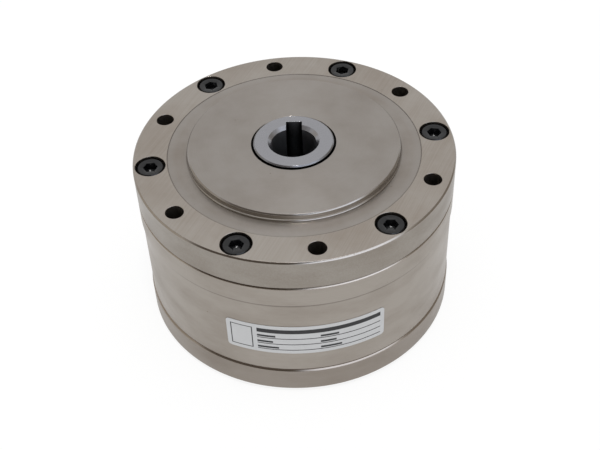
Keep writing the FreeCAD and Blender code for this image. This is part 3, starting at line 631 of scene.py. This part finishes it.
def chamfer(radius: float, height: float, leg: float, inwards: float, outwards: float) -> Outline:
    """Give a chamfer with soft ends between a face and a wall, with a ring that keeps each of them straight.

    Args:
        radius: The wall's radius.
        height: The face's height.
        leg: How far the chamfer reaches along the face and along the wall.
        inwards: One where the solid lies above the face, minus one where it lies below.
        outwards: One for an outside wall, minus one for a hole.

    Returns:
        Rings from the face on to the wall.
    """
    rounding = leg * CHAMFER_SOFTNESS
    spare = leg + rounding * math.tan(CHAMFER_ANGLE / 2)
    middles = ((radius - outwards * spare, height + inwards * rounding),
               (radius - outwards * rounding, height + inwards * spare))
    rings = [(radius - outwards * (spare + SUPPORT), height)]
    for (across, level), start in zip(middles, (0.0, CHAMFER_ANGLE)):
        for step in range(ARC_STEPS + 1):
            lean = start + CHAMFER_ANGLE * step / ARC_STEPS
            rings.append((across + outwards * rounding * math.sin(lean),
                          level - inwards * rounding * math.cos(lean)))
    return (*rings, (radius, height + inwards * (spare + SUPPORT)))


def fill(bm: Mesh, loops: list[Loop]) -> None:
    """Close a flat face between loops, with a crisp border.

    Args:
        bm: The mesh that holds them.
        loops: The loops, where those inside another are holes.
    """
    edges = [edge for loop in loops for edge in loop]
    bmesh.ops.triangle_fill(bm, use_beauty=True, use_dissolve=False, edges=edges)
    for edge in edges:
        edge.smooth = False


def repeat(pattern: Mesh, places: list[Matrix]) -> Mesh:
    """Copy a shape to several places.

    Args:
        pattern: The shape, which is freed.
        places: A matrix for each copy.

    Returns:
        One mesh with all copies.
    """
    mesh = bpy.data.meshes.new("pattern")
    pattern.to_mesh(mesh)
    pattern.free()
    bm = bmesh.new()
    for place in places:
        known = set(bm.verts)
        bm.from_mesh(mesh)
        fresh = [vert for vert in bm.verts if vert not in known]
        bmesh.ops.transform(bm, matrix=place, verts=fresh)
    bpy.data.meshes.remove(mesh)
    return bm


def finish_mesh(bm: Mesh, name: str, body: str, nodes: tuple[str, ...],
                finishes: tuple[Finish, ...]) -> Piece:
    """Turn a mesh into a named piece that rides on a body.

    Args:
        bm: The finished mesh, which is freed.
        name: The piece's name.
        body: The body that it rides on.
        nodes: The construction nodes that it stands for.
        finishes: Its finishes, by material number.

    Returns:
        The piece.
    """
    bmesh.ops.recalc_face_normals(bm, faces=bm.faces)
    if bm.calc_volume(signed=True) < 0.0:
        bmesh.ops.reverse_faces(bm, faces=bm.faces)
    for face in bm.faces:
        face.smooth = True
    for edge in bm.edges:
        edge.smooth = edge.smooth and edge.calc_face_angle(0.0) < SHARP_ANGLE
    mesh = bpy.data.meshes.new(name)
    bm.to_mesh(mesh)
    bm.free()
    for finish in finishes:
        mesh.materials.append(finish.material())
    piece = bpy.data.objects.new(name, mesh)
    bpy.context.scene.collection.objects.link(piece)
    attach(piece, body)
    if nodes:
        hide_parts(*nodes)
    log.info("%s: %d faces on %s", name, len(mesh.polygons), body)
    return piece


@dataclass
class BoltCircle:
    """The circle that carries the body screws and, between them, the mounting holes."""

    count: int
    radius: float
    hole_radius: float
    screw_hole_radius: float = 2.95 * MM
    sink_radius: float = 4.7 * MM
    sink_depth: float = 5.4 * MM
    edge: float = 0.08 * MM

    @classmethod
    def of_mount(cls, mount: str) -> "BoltCircle":
        """Read a circle from a packed mount.

        Args:
            mount: The mount's name.

        Returns:
            The bolt circle.
        """
        dims = next(m["dims"] for m in frame["record"]["mounts"] if m["name"] == mount)
        return cls(dims["count"], dims["pcd_mm"] / 2 * MM, dims["hole_r_mm"] * MM)

    def places(self, offset: float) -> list[Pair]:
        """Give the middles of one set of holes.

        Args:
            offset: How far the set is turned, as a share of the spacing.

        Returns:
            Their middles, seen from above.
        """
        angles = [math.tau * (index + offset) / self.count for index in range(self.count)]
        return [(self.radius * math.cos(a), self.radius * math.sin(a)) for a in angles]


@dataclass
class EndRing:
    """A bolted end ring of the body, with sunk screw holes and plain mounting holes."""

    bolts: BoltCircle
    edge: float = 0.5 * MM

    def faces(self) -> Pair:
        """Give the heights of the outer face and of the face at the casing."""
        raise NotImplementedError

    def inner(self) -> Outline:
        """Give the inside outline from the outer face to the face at the casing."""
        raise NotImplementedError

    def shell(self, node: str, finish: Finish, slot: str) -> Piece:
        """Model the ring.

        Args:
            node: The construction node that it stands for.
            finish: Its finish.
            slot: The record's material slot; not used.

        Returns:
            The piece.
        """
        bm = bmesh.new()
        face, back = self.faces()
        inwards = math.copysign(1.0, back - face)
        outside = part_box(node)[1].x
        rim = (chamfer(outside, face, self.edge, inwards, 1.0)
               + chamfer(outside, back, self.edge, -inwards, 1.0)[::-1])
        bore = wall(bm, self.inner(), BODY_STEPS)
        for side in bm.faces:
            side.material_index = 1
        front_loops, back_loops = map(list, zip(wall(bm, rim, BODY_STEPS), bore))
        depth = face + inwards * self.bolts.sink_depth
        plain = (*chamfer(self.bolts.hole_radius, face, self.bolts.edge, inwards, -1.0),
                 (self.bolts.hole_radius, back))
        sunk = (*chamfer(self.bolts.sink_radius, face, self.bolts.edge, inwards, -1.0),
                (self.bolts.sink_radius, depth), (self.bolts.screw_hole_radius, depth),
                (self.bolts.screw_hole_radius, back))
        for outline, offset in ((sunk, 0.0), (plain, MIDDLE)):
            for centre in self.bolts.places(offset):
                mouth, foot = wall(bm, outline, HOLE_STEPS, centre)
                front_loops.append(mouth)
                back_loops.append(foot)
        fill(bm, front_loops)
        fill(bm, back_loops)
        return finish_mesh(bm, node + "_body", "housing", (node,), (finish, NICKEL_FACED))


@dataclass
class FlangeRing(EndRing):
    """The ring at the input end, which clamps the cover."""

    cover_radius: float = 39.3 * MM
    cover_edge: float = 0.03 * MM
    clamp_radius: float = 41.0 * MM
    clamp_depth: float = 3.5 * MM

    def faces(self) -> Pair:
        """Give the heights of the top face and of the face at the casing."""
        low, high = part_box("flange_ring")
        return high.z, low.z

    def inner(self) -> Outline:
        """Give the inside outline, from the top face down to the casing.

        Returns:
            Radius and height of each ring.
        """
        face, back = self.faces()
        ledge = back + self.clamp_depth
        return ((self.cover_radius + self.cover_edge, face), (self.cover_radius, face - self.cover_edge),
                (self.cover_radius, ledge), (self.clamp_radius, ledge), (self.clamp_radius, back))

    def build(self) -> Piece:
        """Model the ring at the input end."""
        return self.shell("flange_ring", NICKEL_GROUND, "nickel_ground")


@dataclass
class RetainerRing(EndRing):
    """The ring at the output end, which carries the output seal and holds the main bearing."""

    seal_radius: float = 37.5 * MM
    seal_depth: float = 7.4 * MM
    shoulder_radius: float = 34.95 * MM
    spigot_radius: float = 37.95 * MM
    groove_radii: Pair = (39.3 * MM, 41.26 * MM)
    groove_depth: float = 1.4 * MM

    def faces(self) -> Pair:
        """Give the heights of the bottom face and of the face at the casing."""
        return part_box("retainer_ring")[0].z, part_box("casing")[0].z

    def inner(self) -> Outline:
        """Give the inside outline, from the bottom face up to the casing.

        Returns:
            Radius and height of each ring.
        """
        face, back = self.faces()
        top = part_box("retainer_ring")[1].z
        near, far = self.groove_radii
        floor = back - self.groove_depth
        return ((self.seal_radius + self.edge, face), (self.seal_radius, face + self.edge),
                (self.seal_radius, face + self.seal_depth), (self.shoulder_radius, face + self.seal_depth),
                (self.shoulder_radius, top), (self.spigot_radius, top), (self.spigot_radius, back),
                (near, back), (near, floor), (far, floor), (far, back))

    def build(self) -> Piece:
        """Model the ring at the output end."""
        return self.shell("retainer_ring", NICKEL_DARKER, "nickel_turned")


@dataclass
class PilotCover:
    """The turned cover: its boss, the seats of seal and bearing, and blind holes in its underside."""

    node: str = "pilot_cover"
    edge: float = 0.4 * MM
    mouth_edge: float = 0.2 * MM
    fine_edge: float = 0.04 * MM
    boss_radius: float = 33.0 * MM
    foot: float = 1.2 * MM
    foot_turn: float = math.radians(45.0)
    foot_drop: float = 0.35 * MM
    foot_steps: int = 10
    sink: float = 0.08 * MM
    mouth_radius: float = 13.0 * MM
    lip: float = 2.0 * MM
    seal_radius: float = 16.5 * MM
    seat_radius: float = 18.5 * MM
    seat_depth: float = 7.0 * MM
    rim_radius: float = 39.28 * MM
    clamp_radius: float = 40.95 * MM
    clamp_height: float = 3.5 * MM
    ring_section: float = 1.4 * MM
    spigot_radius: float = 38.45 * MM
    taps: BoltCircle = field(default_factory=lambda: BoltCircle(6, 22.3 * MM, 1.55 * MM))
    tap_depth: float = 7.7 * MM
    pins: BoltCircle = field(default_factory=lambda: BoltCircle(2, 22.3 * MM, 1.52 * MM))
    pin_depth: float = 3.75 * MM
    pin_offset: float = 1 / 6

    def hollow(self) -> Outline:
        """Give the hollow at the boss's foot and the small drop to the ledge, from the wall on outwards.

        Returns:
            Radius and height of each ring.
        """
        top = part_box("flange_ring")[1].z - self.sink
        start = top + self.foot_drop + self.foot * math.sin(self.foot_turn)
        end = self.boss_radius + self.foot * (1 - math.cos(self.foot_turn))
        leans = [self.foot_turn * step / self.foot_steps for step in range(self.foot_steps + 1)]
        return ((self.boss_radius, start + SUPPORT),
                *((self.boss_radius + self.foot * (1 - math.cos(lean)), start - self.foot * math.sin(lean))
                  for lean in leans),
                (end, top), (end + SUPPORT, top))

    def outline(self) -> Outline:
        """Give the outline from the bearing seat up over the boss and down to the spigot.

        Returns:
            Radius and height of each ring.
        """
        low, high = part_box(self.node)
        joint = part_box("casing")[1].z
        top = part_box("flange_ring")[1].z - self.sink
        seat_top = low.z + self.seat_depth
        lip = high.z - self.lip
        groove = self.clamp_radius - self.ring_section
        clamp_top = joint + self.clamp_height
        return ((self.seat_radius, low.z), (self.seat_radius, seat_top), (self.seal_radius, seat_top),
                (self.seal_radius, lip), (self.mouth_radius, lip),
                *chamfer(self.mouth_radius, high.z, self.mouth_edge, -1.0, -1.0)[::-1],
                *chamfer(self.boss_radius, high.z, self.edge, -1.0, 1.0), *self.hollow(),
                *chamfer(self.rim_radius, top, self.fine_edge, -1.0, 1.0), (self.rim_radius, clamp_top),
                (self.clamp_radius, clamp_top), (self.clamp_radius, joint + self.ring_section),
                (groove, joint + self.ring_section), (groove, joint), (self.spigot_radius, joint),
                *chamfer(self.spigot_radius, low.z, self.edge, 1.0, 1.0)[::-1])

    def build(self) -> Piece:
        """Model the cover.

        Returns:
            The piece.
        """
        bm = bmesh.new()
        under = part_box(self.node)[0].z
        loops = list(wall(bm, self.outline(), BODY_STEPS))[::-1]
        sets = ((self.taps, self.tap_depth, 0.0), (self.pins, self.pin_depth, self.pin_offset))
        for holes, depth, offset in sets:
            for centre in holes.places(offset):
                drilled = ((holes.hole_radius, under), (holes.hole_radius, under + depth))
                mouth, end = wall(bm, drilled, HOLE_STEPS, centre)
                loops.append(mouth)
                fill(bm, [end])
        fill(bm, loops)
        return finish_mesh(bm, self.node + "_body", "housing", (self.node,),
                           (NICKEL_FACED,))


@dataclass
class CapScrews:
    """A set of knurled socket head screws of the body."""

    node: str
    bolts: BoltCircle
    seat: float
    length: float
    points_up: bool
    turns: tuple[float, ...]
    head_radius: float = 4.25 * MM
    head_height: float = 5.0 * MM
    shoulder: float = 0.35 * MM
    crown: float = 0.45 * MM
    knurl_depth: float = 0.13 * MM
    knurls: int = 36
    key: float = 4.0 * MM
    socket: float = 2.5 * MM
    mouth: float = 0.12 * MM
    drill_angle: float = math.radians(31.0)
    drill_tip: float = 0.15 * MM
    thread_radius: float = 2.5 * MM
    pitch: float = 0.8 * MM
    thread_depth: float = 0.46 * MM
    thread_steps: int = 24
    spare_turns: int = 2

    def head(self, bm: Mesh) -> Loop:
        """Model the head over Z = 0.

        Args:
            bm: The mesh that gets it.

        Returns:
            The ring round its underside.
        """
        steps = 2 * self.knurls
        crown = self.head_height - self.crown
        outline = ((self.head_radius - self.shoulder, 0.0), (self.head_radius, self.shoulder),
                   (self.head_radius, crown), (self.head_radius - self.crown, self.head_height))
        rings = [circle(bm, radius, height, steps) for radius, height in outline]
        for ring in rings[1:3]:
            corners = sorted({v for e in ring for v in e.verts}, key=lambda v: math.atan2(v.co.y, v.co.x))
            share = 1.0 - self.knurl_depth / self.head_radius
            bmesh.ops.scale(bm, vec=(share, share, 1.0), verts=corners[::2])
        floor = self.head_height - self.socket
        rings.append(circle(bm, self.corner() + self.mouth, self.head_height, steps))
        rings.append(self.hexagon(bm, self.head_height - self.mouth, steps))
        rings.append(self.hexagon(bm, floor, steps))
        bore = self.key / 2 - self.drill_tip
        rings.append(circle(bm, bore, floor, steps))
        tip = floor - (bore - self.drill_tip) * math.tan(self.drill_angle)
        rings.append(circle(bm, self.drill_tip, tip, steps))
        for low, high in zip(rings, rings[1:]):
            made = bmesh.ops.bridge_loops(bm, edges=low + high)
        for face in made["faces"]:
            face.material_index = 1
        fill(bm, rings[-1:])
        return rings[0]

    def corner(self) -> float:
        """Give how far the key's corners lie from its axis."""
        return self.key / 2 / math.cos(math.pi / HEX_SIDES)

    def hexagon(self, bm: Mesh, height: float, steps: int) -> Loop:
        """Draw a level hexagon of the key's size.

        Args:
            bm: The mesh that gets it.
            height: Its height.
            steps: How many edges it has in all.

        Returns:
            Its edges.
        """
        known = set(bm.edges)
        sides = circle(bm, self.corner(), height, HEX_SIDES)
        bmesh.ops.bisect_edges(bm, edges=sides, cuts=steps // HEX_SIDES - 1)
        return [edge for edge in bm.edges if edge not in known]

    def thread(self, bm: Mesh, under: Loop) -> None:
        """Model the threaded shank below Z = 0 and join it to the head.

        Args:
            bm: The mesh that gets it.
            under: The ring round the head's underside.
        """
        root = self.thread_radius - self.thread_depth
        turns = math.ceil(self.length / self.pitch) + self.spare_turns
        start = -self.length - self.pitch
        points = ((root, start), (self.thread_radius, start + self.pitch / 2), (root, start + self.pitch))
        before = set(bm.faces)
        helix(bm, profile(bm, points), self.pitch, turns, self.thread_steps)
        faces = [face for face in bm.faces if face not in before]
        shank = list({vert for face in faces for vert in face.verts})
        bmesh.ops.remove_doubles(bm, verts=shank, dist=MERGE)
        tip = self.cut(bm, before, -self.length, -1.0)
        collar = self.cut(bm, before, 0.0, 1.0)
        fill(bm, [tip])
        fill(bm, [under, collar])

    def cut(self, bm: Mesh, others: set, height: float, side: float) -> Loop:
        """Cut the thread off level.

        Args:
            bm: The mesh that holds it.
            others: Faces that are left alone.
            height: The level of the cut.
            side: Minus one to clear what lies below, one to clear what lies above.

        Returns:
            The edges of the cut.
        """
        faces = [face for face in bm.faces if face not in others]
        geom = faces + list({e for f in faces for e in f.edges}) + list({v for f in faces for v in f.verts})
        made = bmesh.ops.bisect_plane(bm, geom=geom, dist=CUT_NEAR, plane_co=(0, 0, height),
                                      plane_no=(0, 0, side), clear_outer=True)
        return [part for part in made["geom_cut"] if isinstance(part, bmesh.types.BMEdge)]

    def build(self) -> Piece:
        """Model the set.

        Returns:
            The piece.
        """
        one = bmesh.new()
        self.thread(one, self.head(one))
        tip_over = Matrix.Rotation(math.pi if self.points_up else 0.0, 4, "X")
        spots = [Matrix.Translation((x, y, self.seat)) @ Matrix.Rotation(math.radians(turn), 4, "Z")
                 @ tip_over for (x, y), turn in zip(self.bolts.places(0.0), self.turns)]
        return finish_mesh(repeat(one, spots), self.node + "_set", "housing", (self.node,),
                           (OXIDE, OXIDE_DRILLED))


@dataclass
class TapThreads:
    """The thread ridges in the tapped holes of the output face."""

    holes: BoltCircle
    depth: float = 8.4 * MM
    pitch: float = 0.8 * MM
    ridge: float = 0.4 * MM
    foot: float = 0.66 * MM
    sunk: float = 0.03 * MM
    steps: int = 24

    def build(self) -> Piece:
        """Model the ridges, one helix for each hole.

        Returns:
            The piece.
        """
        one = bmesh.new()
        root = self.holes.hole_radius + self.sunk
        low = self.pitch / 2
        points = ((root, low - self.foot / 2), (self.holes.hole_radius - self.ridge, low),
                  (root, low + self.foot / 2))
        turns = int((self.depth - self.pitch) / self.pitch)
        helix(one, profile(one, points, closed=True), self.pitch, turns, self.steps)
        ends = [edge for edge in one.edges if edge.is_boundary]
        bmesh.ops.holes_fill(one, edges=ends, sides=len(points))
        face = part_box("output_flange")[0].z
        spots = [Matrix.Translation((x, y, face)) for x, y in self.holes.places(0.0)]
        return finish_mesh(repeat(one, spots), "output_tap_threads", "output", (),
                           (STEEL_GROUND,))


@dataclass
class TypeLabel:
    """The bent label on the casing, printed with blank ruled fields."""

    node: str = "type_label"
    width_angle: float = math.radians(57.0)
    middle_angle: float = math.radians(-95.5)
    thickness: float = 0.1 * MM
    corner: float = 1.2 * MM
    corner_steps: int = 6
    bend_steps: int = 60
    margin: float = 1.4 * MM
    rule: float = 0.32 * MM
    box_width: float = 7.0 * MM
    header: float = 1.7 * MM
    caption: float = 0.8 * MM
    caption_rise: float = 0.64 * MM
    caption_lengths: tuple[float, ...] = (6.5 * MM, 4.8 * MM, 5.6 * MM)

    def bars(self, width: float, height: float) -> list[tuple[float, float, float, float]]:
        """Lay out the print: an empty box, a header bar and two columns of ruled fields.

        Args:
            width: The label's width.
            height: Its height.

        Returns:
            Left, right, bottom and top of every printed bar.
        """
        left, right = self.margin - width / 2, width / 2 - self.margin
        bottom, top = self.margin - height / 2, height / 2 - self.margin
        box = left + self.box_width
        made = [(left, box, top - self.rule, top), (left, box, bottom, bottom + self.rule),
                (left, left + self.rule, bottom, top), (box - self.rule, box, bottom, top)]
        start = box + self.margin
        made.append((start, right, top - self.header, top))
        pitch = (top - self.header - bottom) / len(self.caption_lengths)
        for row, length in enumerate(self.caption_lengths):
            low = bottom + row * pitch
            made.append((start, right, low, low + self.rule))
            foot = low + self.caption_rise
            for column in (start, (start + right) / 2):
                made.append((column, column + length, foot, foot + self.caption))
        return made

    def build(self) -> Piece:
        """Model and print the label.

        Returns:
            The piece.
        """
        low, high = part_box(self.node)
        radius = -low.y
        height = high.z - low.z
        width = radius * self.width_angle
        bm = bmesh.new()
        made = bmesh.ops.create_grid(bm, x_segments=1, y_segments=1, size=UNIT_SQUARE)
        bmesh.ops.scale(bm, vec=(width, height, 1.0), verts=made["verts"])
        bmesh.ops.bevel(bm, geom=made["verts"], offset=self.corner, affect="VERTICES",
                        segments=self.corner_steps, profile=0.5, material=-1)
        lines = {width * (step / self.bend_steps - MIDDLE) for step in range(1, self.bend_steps)}
        print_bars = self.bars(width, height)
        for left, right, bottom, top in print_bars:
            lines.update((left, right))
            for level in (bottom, top):
                self.split(bm, (0, level, 0), (0, 1, 0))
        for line in sorted(lines):
            self.split(bm, (line, 0, 0), (1, 0, 0))
        for face in bm.faces:
            spot = face.calc_center_median()
            face.material_index = int(any(
                left < spot.x < right and bottom < spot.y < top for left, right, bottom, top in print_bars))
        front = list(bm.faces)
        made = bmesh.ops.extrude_face_region(bm, geom=front)
        sheet = [part for part in made["geom"] if isinstance(part, bmesh.types.BMVert)]
        bmesh.ops.translate(bm, vec=(0, 0, -self.thickness), verts=sheet)
        for vert in bm.verts:
            angle = self.middle_angle + vert.co.x / radius
            reach = radius + vert.co.z
            vert.co = (reach * math.cos(angle), reach * math.sin(angle), (low.z + high.z) / 2 + vert.co.y)
        return finish_mesh(bm, "type_label_film", "housing", (self.node,), (FILM, INK))

    @staticmethod
    def split(bm: Mesh, point: tuple[float, ...], normal: tuple[float, ...]) -> None:
        """Cut the flat sheet along a line, keeping both sides."""
        geom = list(bm.verts) + list(bm.edges) + list(bm.faces)
        bmesh.ops.bisect_plane(bm, geom=geom, dist=CUT_NEAR, plane_co=point, plane_no=normal)


@dataclass(frozen=True)
class Panel:
    """A flat lamp or card, by its direction from the object in degrees to the right of the camera."""

    name: str
    azimuth: float
    elevation: float
    width: float
    height: float


@dataclass(frozen=True)
class Lamp(Panel):
    """A soft lamp of even brightness, where one is the brightness of white paper."""

    brightness: float


@dataclass(frozen=True)
class Card(Panel):
    """A card with soft ends that shows only in the shine of metal, as a darker or a brighter patch."""

    colour: str
    brightness: float = 1.0
    fade: float = 0.5


@dataclass
class Studio:
    """Floor, lamps, background and camera."""

    floor_size: float = 6.0
    floor_drop: float = 0.2 * MM
    floor_glow: float = 0.9
    floor_camera_glow: float = 0.16
    floor_glow_share: float = 0.8
    floor_paint: str = "#F3F3F3"
    soft_light: float = 0.8
    distance: float = 1.0
    card_spacing: float = 0.03
    top_lamp: Lamp = Lamp("top_lamp", 5.0, 75.0, 0.11, 0.11, 48.0)
    cards: tuple[Card, ...] = (
        Card("left_card", -27.0, 38.0, 2.20, 0.75, "#787068"),
        Card("far_left_card", -100.0, 20.0, 1.10, 0.60, "#E4DED4"),
        Card("right_card", 99.0, 19.0, 1.30, 0.62, "#B7B0A7"),
        Card("left_side_card", -102.0, 46.0, 0.63, 0.24, "#6E665E"),
        Card("right_side_card", 105.0, 46.0, 0.55, 0.24, "#6E665E"),
        Card("right_sheet", 34.0, 38.0, 1.12, 0.34, "#E6EFFF", 3.0),
        Card("front_sheet", 10.0, 55.0, 0.34, 0.22, "#E6EFFF", 1.7),
        Card("back_sheet", 180.0, 68.0, 0.50, 0.30, "#FFFFFF", 1.6),
    )
    camera_place: tuple[float, float, float] = (-0.02972, -0.25105, 0.26402)
    azimuth: float = math.radians(-6.93)
    elevation: float = math.radians(43.50)
    roll: float = math.radians(-2.65)
    lens: float = 63.02

    def camera(self) -> None:
        """Set the camera at the photograph's point of view."""
        right = Vector((1.0, 0.0, 0.0))
        up = Vector((0.0, math.sin(self.elevation), math.cos(self.elevation)))
        back = Vector((0.0, -math.cos(self.elevation), math.sin(self.elevation)))
        side = right * math.cos(self.roll) + up * math.sin(self.roll)
        head = up * math.cos(self.roll) - right * math.sin(self.roll)
        turn = Matrix((side, head, back)).transposed().to_4x4()
        data = bpy.data.cameras.new("camera")
        data.lens = self.lens
        camera = bpy.data.objects.new("camera", data)
        bpy.context.scene.collection.objects.link(camera)
        camera.matrix_world = (Matrix.Translation(self.camera_place)
                               @ Matrix.Rotation(self.azimuth, 4, "Z") @ turn)
        bpy.context.scene.camera = camera

    def towards(self, panel: Panel, distance: float) -> Matrix:
        """Give the place of a panel that looks at the object.

        Args:
            panel: The panel.
            distance: How far it hangs from the origin.

        Returns:
            Its matrix, with Z pointing away from the object.
        """
        turn = math.radians(panel.azimuth) + self.azimuth
        rise = math.radians(panel.elevation)
        way = Vector((math.sin(turn) * math.cos(rise), -math.cos(turn) * math.cos(rise), math.sin(rise)))
        return Matrix.Translation(way * distance) @ way.to_track_quat("Z", "Y").to_matrix().to_4x4()

    def hang_lamp(self, lamp: Lamp) -> None:
        """Hang the lamp that throws the shadow.

        Args:
            lamp: The lamp.
        """
        data = bpy.data.lights.new(lamp.name, "AREA")
        data.shape = "RECTANGLE"
        data.size = lamp.width
        data.size_y = lamp.height
        data.energy = lamp.brightness * math.pi * lamp.width * lamp.height
        hung = bpy.data.objects.new(lamp.name, data)
        bpy.context.scene.collection.objects.link(hung)
        hung.matrix_world = self.towards(lamp, self.distance)

    def hang_card(self, card: Card, distance: float) -> None:
        """Hang a card that neither camera nor shadows see.

        Args:
            card: The card.
            distance: How far it hangs from the origin.
        """
        bm = bmesh.new()
        bm.loops.layers.uv.new("card")
        made = bmesh.ops.create_grid(bm, x_segments=1, y_segments=1, size=UNIT_SQUARE, calc_uvs=True)
        bmesh.ops.scale(bm, vec=(card.width, card.height, 1.0), verts=made["verts"])
        bmesh.ops.transform(bm, matrix=self.towards(card, distance), verts=made["verts"])
        hung = self.sheet(bm, card.name)
        hung.visible_camera = False
        hung.visible_diffuse = False
        hung.visible_shadow = False
        tree = self.paint(hung, card.name + "_paint")
        sides = add(tree, "ShaderNodeSeparateXYZ", {0: add(tree, "ShaderNodeTexCoord").outputs["UV"]})
        inside = 1.0
        for side in sides.outputs[:2]:
            off = add(tree, "ShaderNodeMath", {0: side, 1: MIDDLE}, operation="SUBTRACT")
            away = add(tree, "ShaderNodeMath", {0: off}, operation="ABSOLUTE")
            soft = add(tree, "ShaderNodeMapRange",
                       {"Value": away, "From Min": MIDDLE - card.fade / 2, "From Max": MIDDLE,
                        "To Min": 1.0, "To Max": 0.0}, interpolation_type="SMOOTHSTEP")
            inside = add(tree, "ShaderNodeMath", {0: inside, 1: soft}, operation="MULTIPLY")
        tone = add(tree, "ShaderNodeEmission", {"Color": linear(card.colour), "Strength": card.brightness})
        clear = add(tree, "ShaderNodeBsdfTransparent")
        mix = add(tree, "ShaderNodeMixShader", {0: inside, 1: clear, 2: tone})
        add(tree, "ShaderNodeOutputMaterial", {"Surface": mix})

    @staticmethod
    def paint(piece: Piece, name: str) -> Tree:
        """Give a piece of the stage a material without nodes.

        Args:
            piece: The piece.
            name: The material's name.

        Returns:
            The material's node tree.
        """
        paint = bpy.data.materials.new(name)
        paint.use_nodes = True
        paint.node_tree.nodes.clear()
        piece.data.materials.append(paint)
        return paint.node_tree

    @staticmethod
    def sheet(bm: Mesh, name: str) -> Piece:
        """Turn a mesh into a piece of the stage.

        Args:
            bm: The mesh, which is freed.
            name: The piece's name.

        Returns:
            The piece.
        """
        mesh = bpy.data.meshes.new(name)
        bm.to_mesh(mesh)
        bm.free()
        piece = bpy.data.objects.new(name, mesh)
        bpy.context.scene.collection.objects.link(piece)
        return piece

    def white_paths(self, tree: Tree) -> Socket:
        """Give one for rays that should meet plain white.

        Args:
            tree: The tree that gets the nodes.

        Returns:
            A socket that is one for camera, glossy and transmission rays.
        """
        path = add(tree, "ShaderNodeLightPath").outputs
        seen = add(tree, "ShaderNodeMath", {0: path["Is Camera Ray"], 1: path["Is Glossy Ray"]},
                   operation="MAXIMUM")
        return add(tree, "ShaderNodeMath", {0: seen, 1: path["Is Transmission Ray"]},
                   operation="MAXIMUM").outputs[0]

    def backdrop(self) -> None:
        """Set a white background and an even soft light."""
        world = bpy.data.worlds.new("studio")
        world.use_nodes = True
        bpy.context.scene.world = world
        tree = world.node_tree
        tree.nodes.clear()
        white = add(tree, "ShaderNodeBackground", {"Color": WHITE, "Strength": 1.0})
        soft = add(tree, "ShaderNodeBackground", {"Color": WHITE, "Strength": self.soft_light})
        mix = add(tree, "ShaderNodeMixShader", {0: self.white_paths(tree), 1: soft, 2: white})
        add(tree, "ShaderNodeOutputWorld", {"Surface": mix})

    def floor(self) -> None:
        """Lay a pale floor that stays white, keeps a soft shadow and can't be seen from below."""
        bm = bmesh.new()
        made = bmesh.ops.create_grid(bm, x_segments=1, y_segments=1, size=self.floor_size / 2)
        bmesh.ops.translate(bm, vec=(0, 0, -self.floor_drop), verts=made["verts"])
        tree = self.paint(self.sheet(bm, "floor"), "pale_floor")
        matt = add(tree, "ShaderNodeBsdfDiffuse", {"Color": linear(self.floor_paint)})
        seen = add(tree, "ShaderNodeLightPath").outputs["Is Camera Ray"]
        level = add(tree, "ShaderNodeMath", {0: seen, 1: self.floor_camera_glow, 2: self.floor_glow},
                    operation="MULTIPLY_ADD")
        glow = add(tree, "ShaderNodeEmission", {"Color": WHITE, "Strength": level})
        share = add(tree, "ShaderNodeMath", {0: self.white_paths(tree), 1: self.floor_glow_share},
                    operation="MULTIPLY")
        top = add(tree, "ShaderNodeMixShader", {0: share, 1: matt, 2: glow})
        clear = add(tree, "ShaderNodeBsdfTransparent")
        below = add(tree, "ShaderNodeNewGeometry").outputs["Backfacing"]
        mix = add(tree, "ShaderNodeMixShader", {0: below, 1: top, 2: clear})
        add(tree, "ShaderNodeOutputMaterial", {"Surface": mix})

    def build(self) -> None:
        """Set up the whole studio."""
        bpy.context.scene.view_settings.view_transform = "Standard"
        self.floor()
        self.backdrop()
        self.hang_lamp(self.top_lamp)
        for place, card in enumerate(self.cards):
            self.hang_card(card, self.distance - place * self.card_spacing)
        self.camera()


def dress_nodes() -> None:
    """Give every construction node a finish: its own where one is listed, else that of its slot in the
    record.
    """
    for part in frame["record"]["subparts"]:
        node = frame["nodes"][part["node"]]
        node.data.materials.clear()
        finish = NODE_FINISH.get(part["node"], SLOT_FINISH[part["material_slot"]])
        node.data.materials.append(finish.material())
        log.info("%s: %s", part["node"], part["material_slot"])


def main() -> None:
    """Build the pieces in order, then the studio."""
    dress_nodes()
    bolts = BoltCircle.of_mount("flange_holes")
    flange = FlangeRing(bolts)
    flange.build()
    CapScrews("flange_screws", bolts, seat=flange.faces()[0] - bolts.sink_depth, length=FLANGE_SCREW_LENGTH,
              points_up=False, turns=FLANGE_SCREW_TURNS).build()
    PilotCover().build()
    retainer = RetainerRing(bolts)
    retainer.build()
    CapScrews("retainer_screws", bolts, seat=retainer.faces()[0] + bolts.sink_depth,
              length=RETAINER_SCREW_LENGTH, points_up=True, turns=RETAINER_SCREW_TURNS).build()
    TapThreads(BoltCircle.of_mount("output_threads")).build()
    TypeLabel().build()
    Studio().build()


if __name__ == "__main__":
    main()
